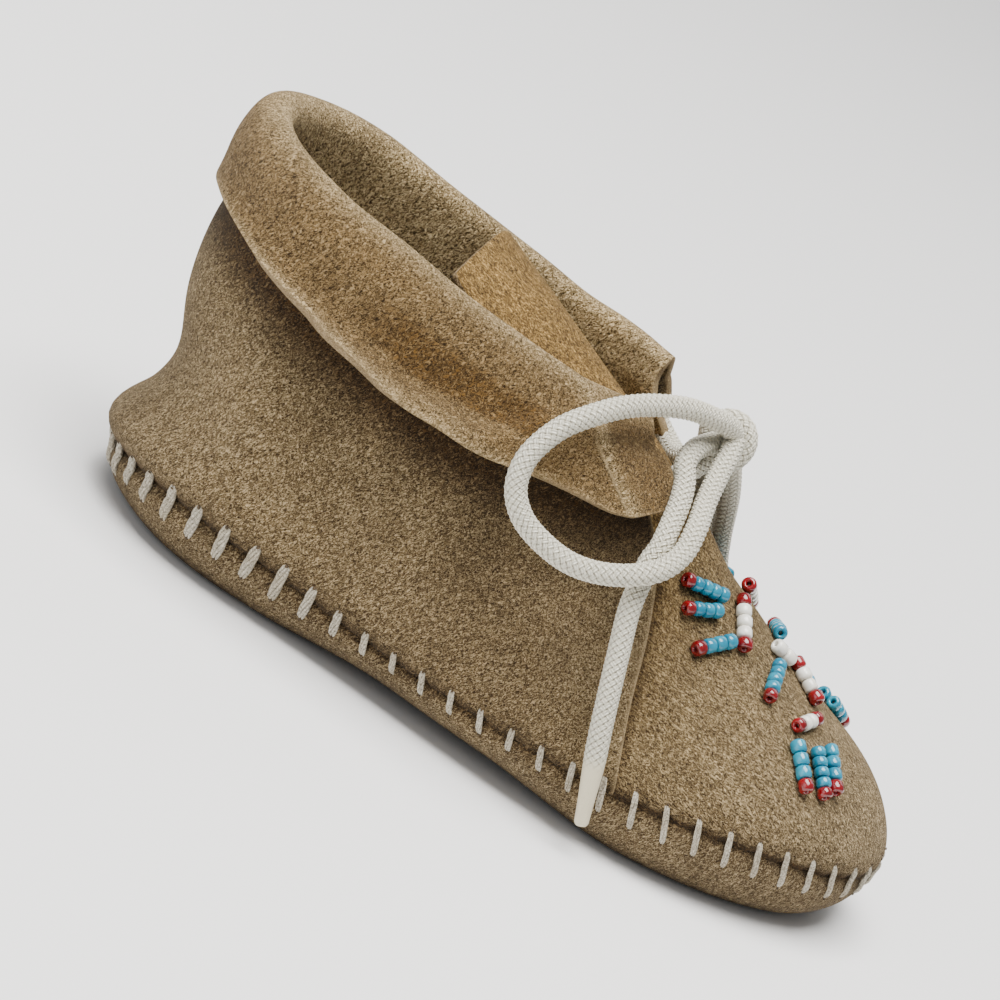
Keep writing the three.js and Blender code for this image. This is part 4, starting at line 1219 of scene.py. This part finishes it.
# Seed beads, sewn in short rows on the vamp
bead = {"radius": 1.1, "hole": 0.36, "pitch": 1.72, "round": 0.34, "dish": 0.12, "shoulder": 0.14,
        "sides": 18, "fill": 0.99, "seat": 0.93, "sag": 0.35, "stray": 0.12, "tilt": 0.14, "small": 0.96,
        "spare": 0.08, "thread": 0.3, "threadSides": 6, "seed": 11}
beadRows = table("name x y endX endY",
                 ("heel_right_1", 22.6, -5.8, 17.4, -9.8), ("heel_right_2", 23.1, -8.2, 19.5, -11.9),
                 ("heel_right_3", 27.1, -10, 23.8, -14.2), ("heel_left_1", 22.2, 10, 18.2, 13.6),
                 ("heel_left_2", 24, 12.2, 20.4, 15.8), ("heel_left_3", 27.6, 12.4, 24.4, 16.6),
                 ("heel_arc_right", 25.8, -2.9, 29, -8.5), ("heel_arc_left", 25.6, 3.6, 27.4, 10),
                 ("middle_right", 34.8, -5.2, 35.7, -11.3), ("middle_left", 32.6, 1.6, 31.8, 8.4),
                 ("centre", 33.6, -2, 35.4, -1), ("toe_arc_right", 43.2, -6.4, 41.3, -11),
                 ("toe_arc_left", 41.8, -1.6, 37.2, 1.2), ("toe_right_1", 42.7, -14.1, 46.2, -17.8),
                 ("toe_right_2", 45.5, -11.6, 49.1, -15.7), ("toe_right_3", 47.2, -8.5, 50.1, -13),
                 ("toe_left_1", 41.2, 17.6, 43.6, 21.4), ("toe_left_2", 43.8, 15.4, 46.4, 19.4),
                 ("toe_left_3", 45.6, 13, 48.2, 17))


glass = {"cloud": 420.0, "ripple": 1500.0, "rippleHigh": 0.06, "deep": 0.0003, "rough": 0.16,
         "coatRough": 0.06}


def beadFinish(name, deep, bright, coat):
    finish, tree, shader = newFinish(name)
    where = objectPlace(tree)
    tone = ramp(tree, grain(tree, where, glass["cloud"], 2.0, 0.5, 0.3), (0.35, deep), (0.65, bright))
    setShader(tree, shader, {"Base Color": tone, "Roughness": glass["rough"], "Coat Weight": coat,
                             "Coat Roughness": glass["coatRough"]})
    ripple = grain(tree, where, glass["ripple"], 1.0, 0.4, 0.0)
    addBump(tree, shader, ripple, glass["rippleHigh"], glass["deep"])
    return finish


beadTurquoise = beadFinish("beadTurquoise", (0.006, 0.155, 0.25), (0.014, 0.25, 0.36), 0.4)
beadWhite = beadFinish("beadWhite", (0.72, 0.69, 0.61), (0.84, 0.82, 0.76), 0.4)
beadRed = beadFinish("beadRed", (0.12, 0.002, 0.004), (0.26, 0.004, 0.008), 0.5)


def beadShape(long):
    bm = bmesh.new()
    rim, corner, half = bead["radius"], bead["round"], long / 2
    top = [(bead["hole"], half - bead["dish"]), (rim - corner * 1.25, half),
           (rim - bead["shoulder"], half - corner * 0.55), (rim, half - corner * 1.25)]
    verts = [bm.verts.new((r, 0, -z)) for r, z in top] + [bm.verts.new((r, 0, z)) for r, z in reversed(top)]
    edges = [bm.edges.new((a, b)) for a, b in zip(verts, verts[1:] + verts[:1])]
    bmesh.ops.spin(bm, geom=verts + edges, cent=(0, 0, 0), axis=(0, 0, 1), angle=2 * math.pi,
                   steps=bead["sides"], use_merge=True)
    bmesh.ops.remove_doubles(bm, verts=bm.verts[:], dist=1e-5)
    bmesh.ops.recalc_face_normals(bm, faces=bm.faces[:])
    mesh = bpy.data.meshes.new("beadTurned")
    bm.to_mesh(mesh)
    bm.free()
    return mesh


def onVamp(x, y):
    place, normal, _, _ = vampTree.ray_cast(toRow(x, y, 80), Vector((0, 0, -1)))
    return Vector((x, y, place.z * 1000)), normal


beadDice = random.Random(bead["seed"])
beadSets = {"turquoise": bmesh.new(), "white": bmesh.new(), "red": bmesh.new()}
beadThread = bmesh.new()
beadNodes = {"turquoise": [], "white": []}
for row in beadRows:
    start, _ = onVamp(row["x"], row["y"])
    end, _ = onVamp(row["endX"], row["endY"])
    middle, normal = onVamp((row["x"] + row["endX"]) / 2, (row["y"] + row["endY"]) / 2)
    bulge = max(0.0, (middle - (start + end) / 2).dot(normal))
    long = (end - start).length
    count = max(2, round(long / bead["pitch"]) + 1)
    axis = (end - start).normalized()
    shape = beadShape(long / (count - 1) * bead["fill"])
    arc = "arc" in row["name"]
    plain = "white" if arc or row["name"] == "centre" else "turquoise"
    beadNodes[plain].append("beads_" + row["name"])
    line = []
    for k in range(count):
        t = k / (count - 1)
        hump = bulge * (1 - bead["sag"] * (2 * t - 1) ** 2)
        spot = start.lerp(end, t) + normal * (bead["radius"] * bead["seat"] + hump)
        spot += normal.cross(axis) * bead["stray"] * (beadDice.random() - 0.5)
        line.append(spot)
        redEnd = k == count - 1 or (arc and k == 0)
        target = beadSets["red" if redEnd and row["name"] != "centre" else plain]
        tilt = Matrix.Rotation(bead["tilt"] * (beadDice.random() - 0.5), 3, normal)
        turn = (tilt @ axis).to_track_quat("Z", "Y").to_matrix().to_4x4()
        size = (bead["small"] + bead["spare"] * beadDice.random()) * mm
        at = Matrix.Translation(toRow(*spot)) @ turn @ Matrix.Diagonal((size, size, mm, 1))
        before = len(target.verts)
        target.from_mesh(shape)
        target.verts.ensure_lookup_table()
        bmesh.ops.transform(target, matrix=at, verts=target.verts[before:])
    tubeInto(beadThread, line, lambda t: bead["thread"], bead["threadSides"])
    bpy.data.meshes.remove(shape)
bmesh.ops.recalc_face_normals(beadThread, faces=beadThread.faces[:])
showPiece("beadsTurquoise", beadSets["turquoise"], [beadTurquoise], beadNodes["turquoise"])
showPiece("beadsWhite", beadSets["white"], [beadWhite], beadNodes["white"])
showPiece("beadsRed", beadSets["red"], [beadRed])
showPiece("beadThread", beadThread, [stitchThread])
print("beads made:", len(beadRows), "rows")

# Lace run: in the fold round the heel and out to the knot at each front corner
laceRun = {"nearBar": ((11.6, -1.4, 50.6), (10.5, -3.5, 47.5), (7.5, -8, 44.5), (4.4, -12.4, 44.6),
                       (1.2, -13.8, 45.2)),
           "farBar": ((1.5, 17, 45), (4.6, 15, 43.6), (7.8, 9.5, 43.6), (10.5, 3.5, 47.5),
                      (11.6, 1.4, 50.6)),
           "ends": 0.93, "steps": 30, "out": 1.75, "up": 0.5, "give": (0.68, 0.25), "giveIn": 0.8,
           "giveDown": 3.2}
runPoints = list(laceRun["nearBar"])
for k in range(laceRun["steps"] + 1):
    share = -laceRun["ends"] + 2 * laceRun["ends"] * k / laceRun["steps"]
    give = fade(abs(share), *laceRun["give"])
    seat = quarterPoint(share, 1) + quarterOut(share, 1) * (laceRun["out"] - laceRun["giveIn"] * give)
    seat.z += laceRun["up"] - laceRun["giveDown"] * give
    seat = turnedIn(seat)
    runPoints.append((seat.x + frontLean(share, quarter["foldAt"]), seat.y, seat.z))
runPoints += laceRun["farBar"]
braidCord("laceRun", runPoints, ["lace_run"])
print("lace run made")

# Floor, light and camera
stage = {"floor": 12.0, "dark": (0.87, 0.865, 0.86), "light": (0.9, 0.895, 0.89),
         "sky": (0.95, 0.97, 1.0, 1), "world": 0.32, "key": 29.5, "fill": 4.0, "back": 3.0,
         "aim": (0.0, 0.0, 0.03)}
floorMesh = bmesh.new()
bmesh.ops.create_grid(floorMesh, x_segments=2, y_segments=2, size=stage["floor"])
floorData = bpy.data.meshes.new("floor")
floorMesh.to_mesh(floorData)
floorMesh.free()
floorData.materials.append(speckFinish("palePaper", 3.0, stage, 0.8))
floorPiece = bpy.data.objects.new("floor", floorData)
bpy.context.collection.objects.link(floorPiece)

world = bpy.data.worlds.new("studio")
world.use_nodes = True
world.node_tree.nodes["Background"].inputs["Color"].default_value = stage["sky"]
world.node_tree.nodes["Background"].inputs["Strength"].default_value = stage["world"]
bpy.context.scene.world = world


def softLight(name, place, size, power, colour):
    lamp = bpy.data.lights.new(name, "AREA")
    lamp.shape = "RECTANGLE"
    lamp.size, lamp.size_y = size
    lamp.energy = power
    lamp.color = colour
    holder = bpy.data.objects.new(name, lamp)
    holder.location = place
    holder.rotation_euler = (Vector(stage["aim"]) - Vector(place)).to_track_quat("-Z", "Y").to_euler()
    bpy.context.collection.objects.link(holder)


softLight("keyLight", (-0.08, -0.16, 1.0), (0.8, 0.7), stage["key"], (1.0, 0.985, 0.96))
softLight("fillLight", (-0.6, -0.9, 0.5), (0.8, 0.8), stage["fill"], (0.96, 0.98, 1.0))
softLight("backLight", (0.3, 0.9, 0.8), (0.9, 0.6), stage["back"], (1.0, 1.0, 1.0))

shot = {"elevation": 17.4, "roll": 32.0, "away": 630.0, "up": 26.7, "lens": 158.0, "sensor": 36.0,
        "shiftX": -0.0667, "shiftY": 0.0328}
tip = math.radians(shot["elevation"])
roll = math.radians(shot["roll"])
forward = Vector((0, math.cos(tip), -math.sin(tip)))
upward = Vector((0, math.sin(tip), math.cos(tip)))
right = Vector((1, 0, 0))
eye = toRow(0, 0, 0) + (upward * shot["up"] - forward * shot["away"]) * mm
imageRight = right * math.cos(roll) + upward * math.sin(roll)
imageUp = upward * math.cos(roll) - right * math.sin(roll)
turned = Matrix((imageRight, imageUp, -forward)).transposed().to_4x4()
lensData = bpy.data.cameras.new("camera")
lensData.lens = shot["lens"]
lensData.sensor_width = shot["sensor"]
lensData.shift_x, lensData.shift_y = shot["shiftX"], shot["shiftY"]
lensData.clip_start = 0.01
camera = bpy.data.objects.new("camera", lensData)
camera.matrix_world = Matrix.Translation(eye) @ turned
bpy.context.collection.objects.link(camera)
bpy.context.scene.camera = camera
print("floor, light and camera set")
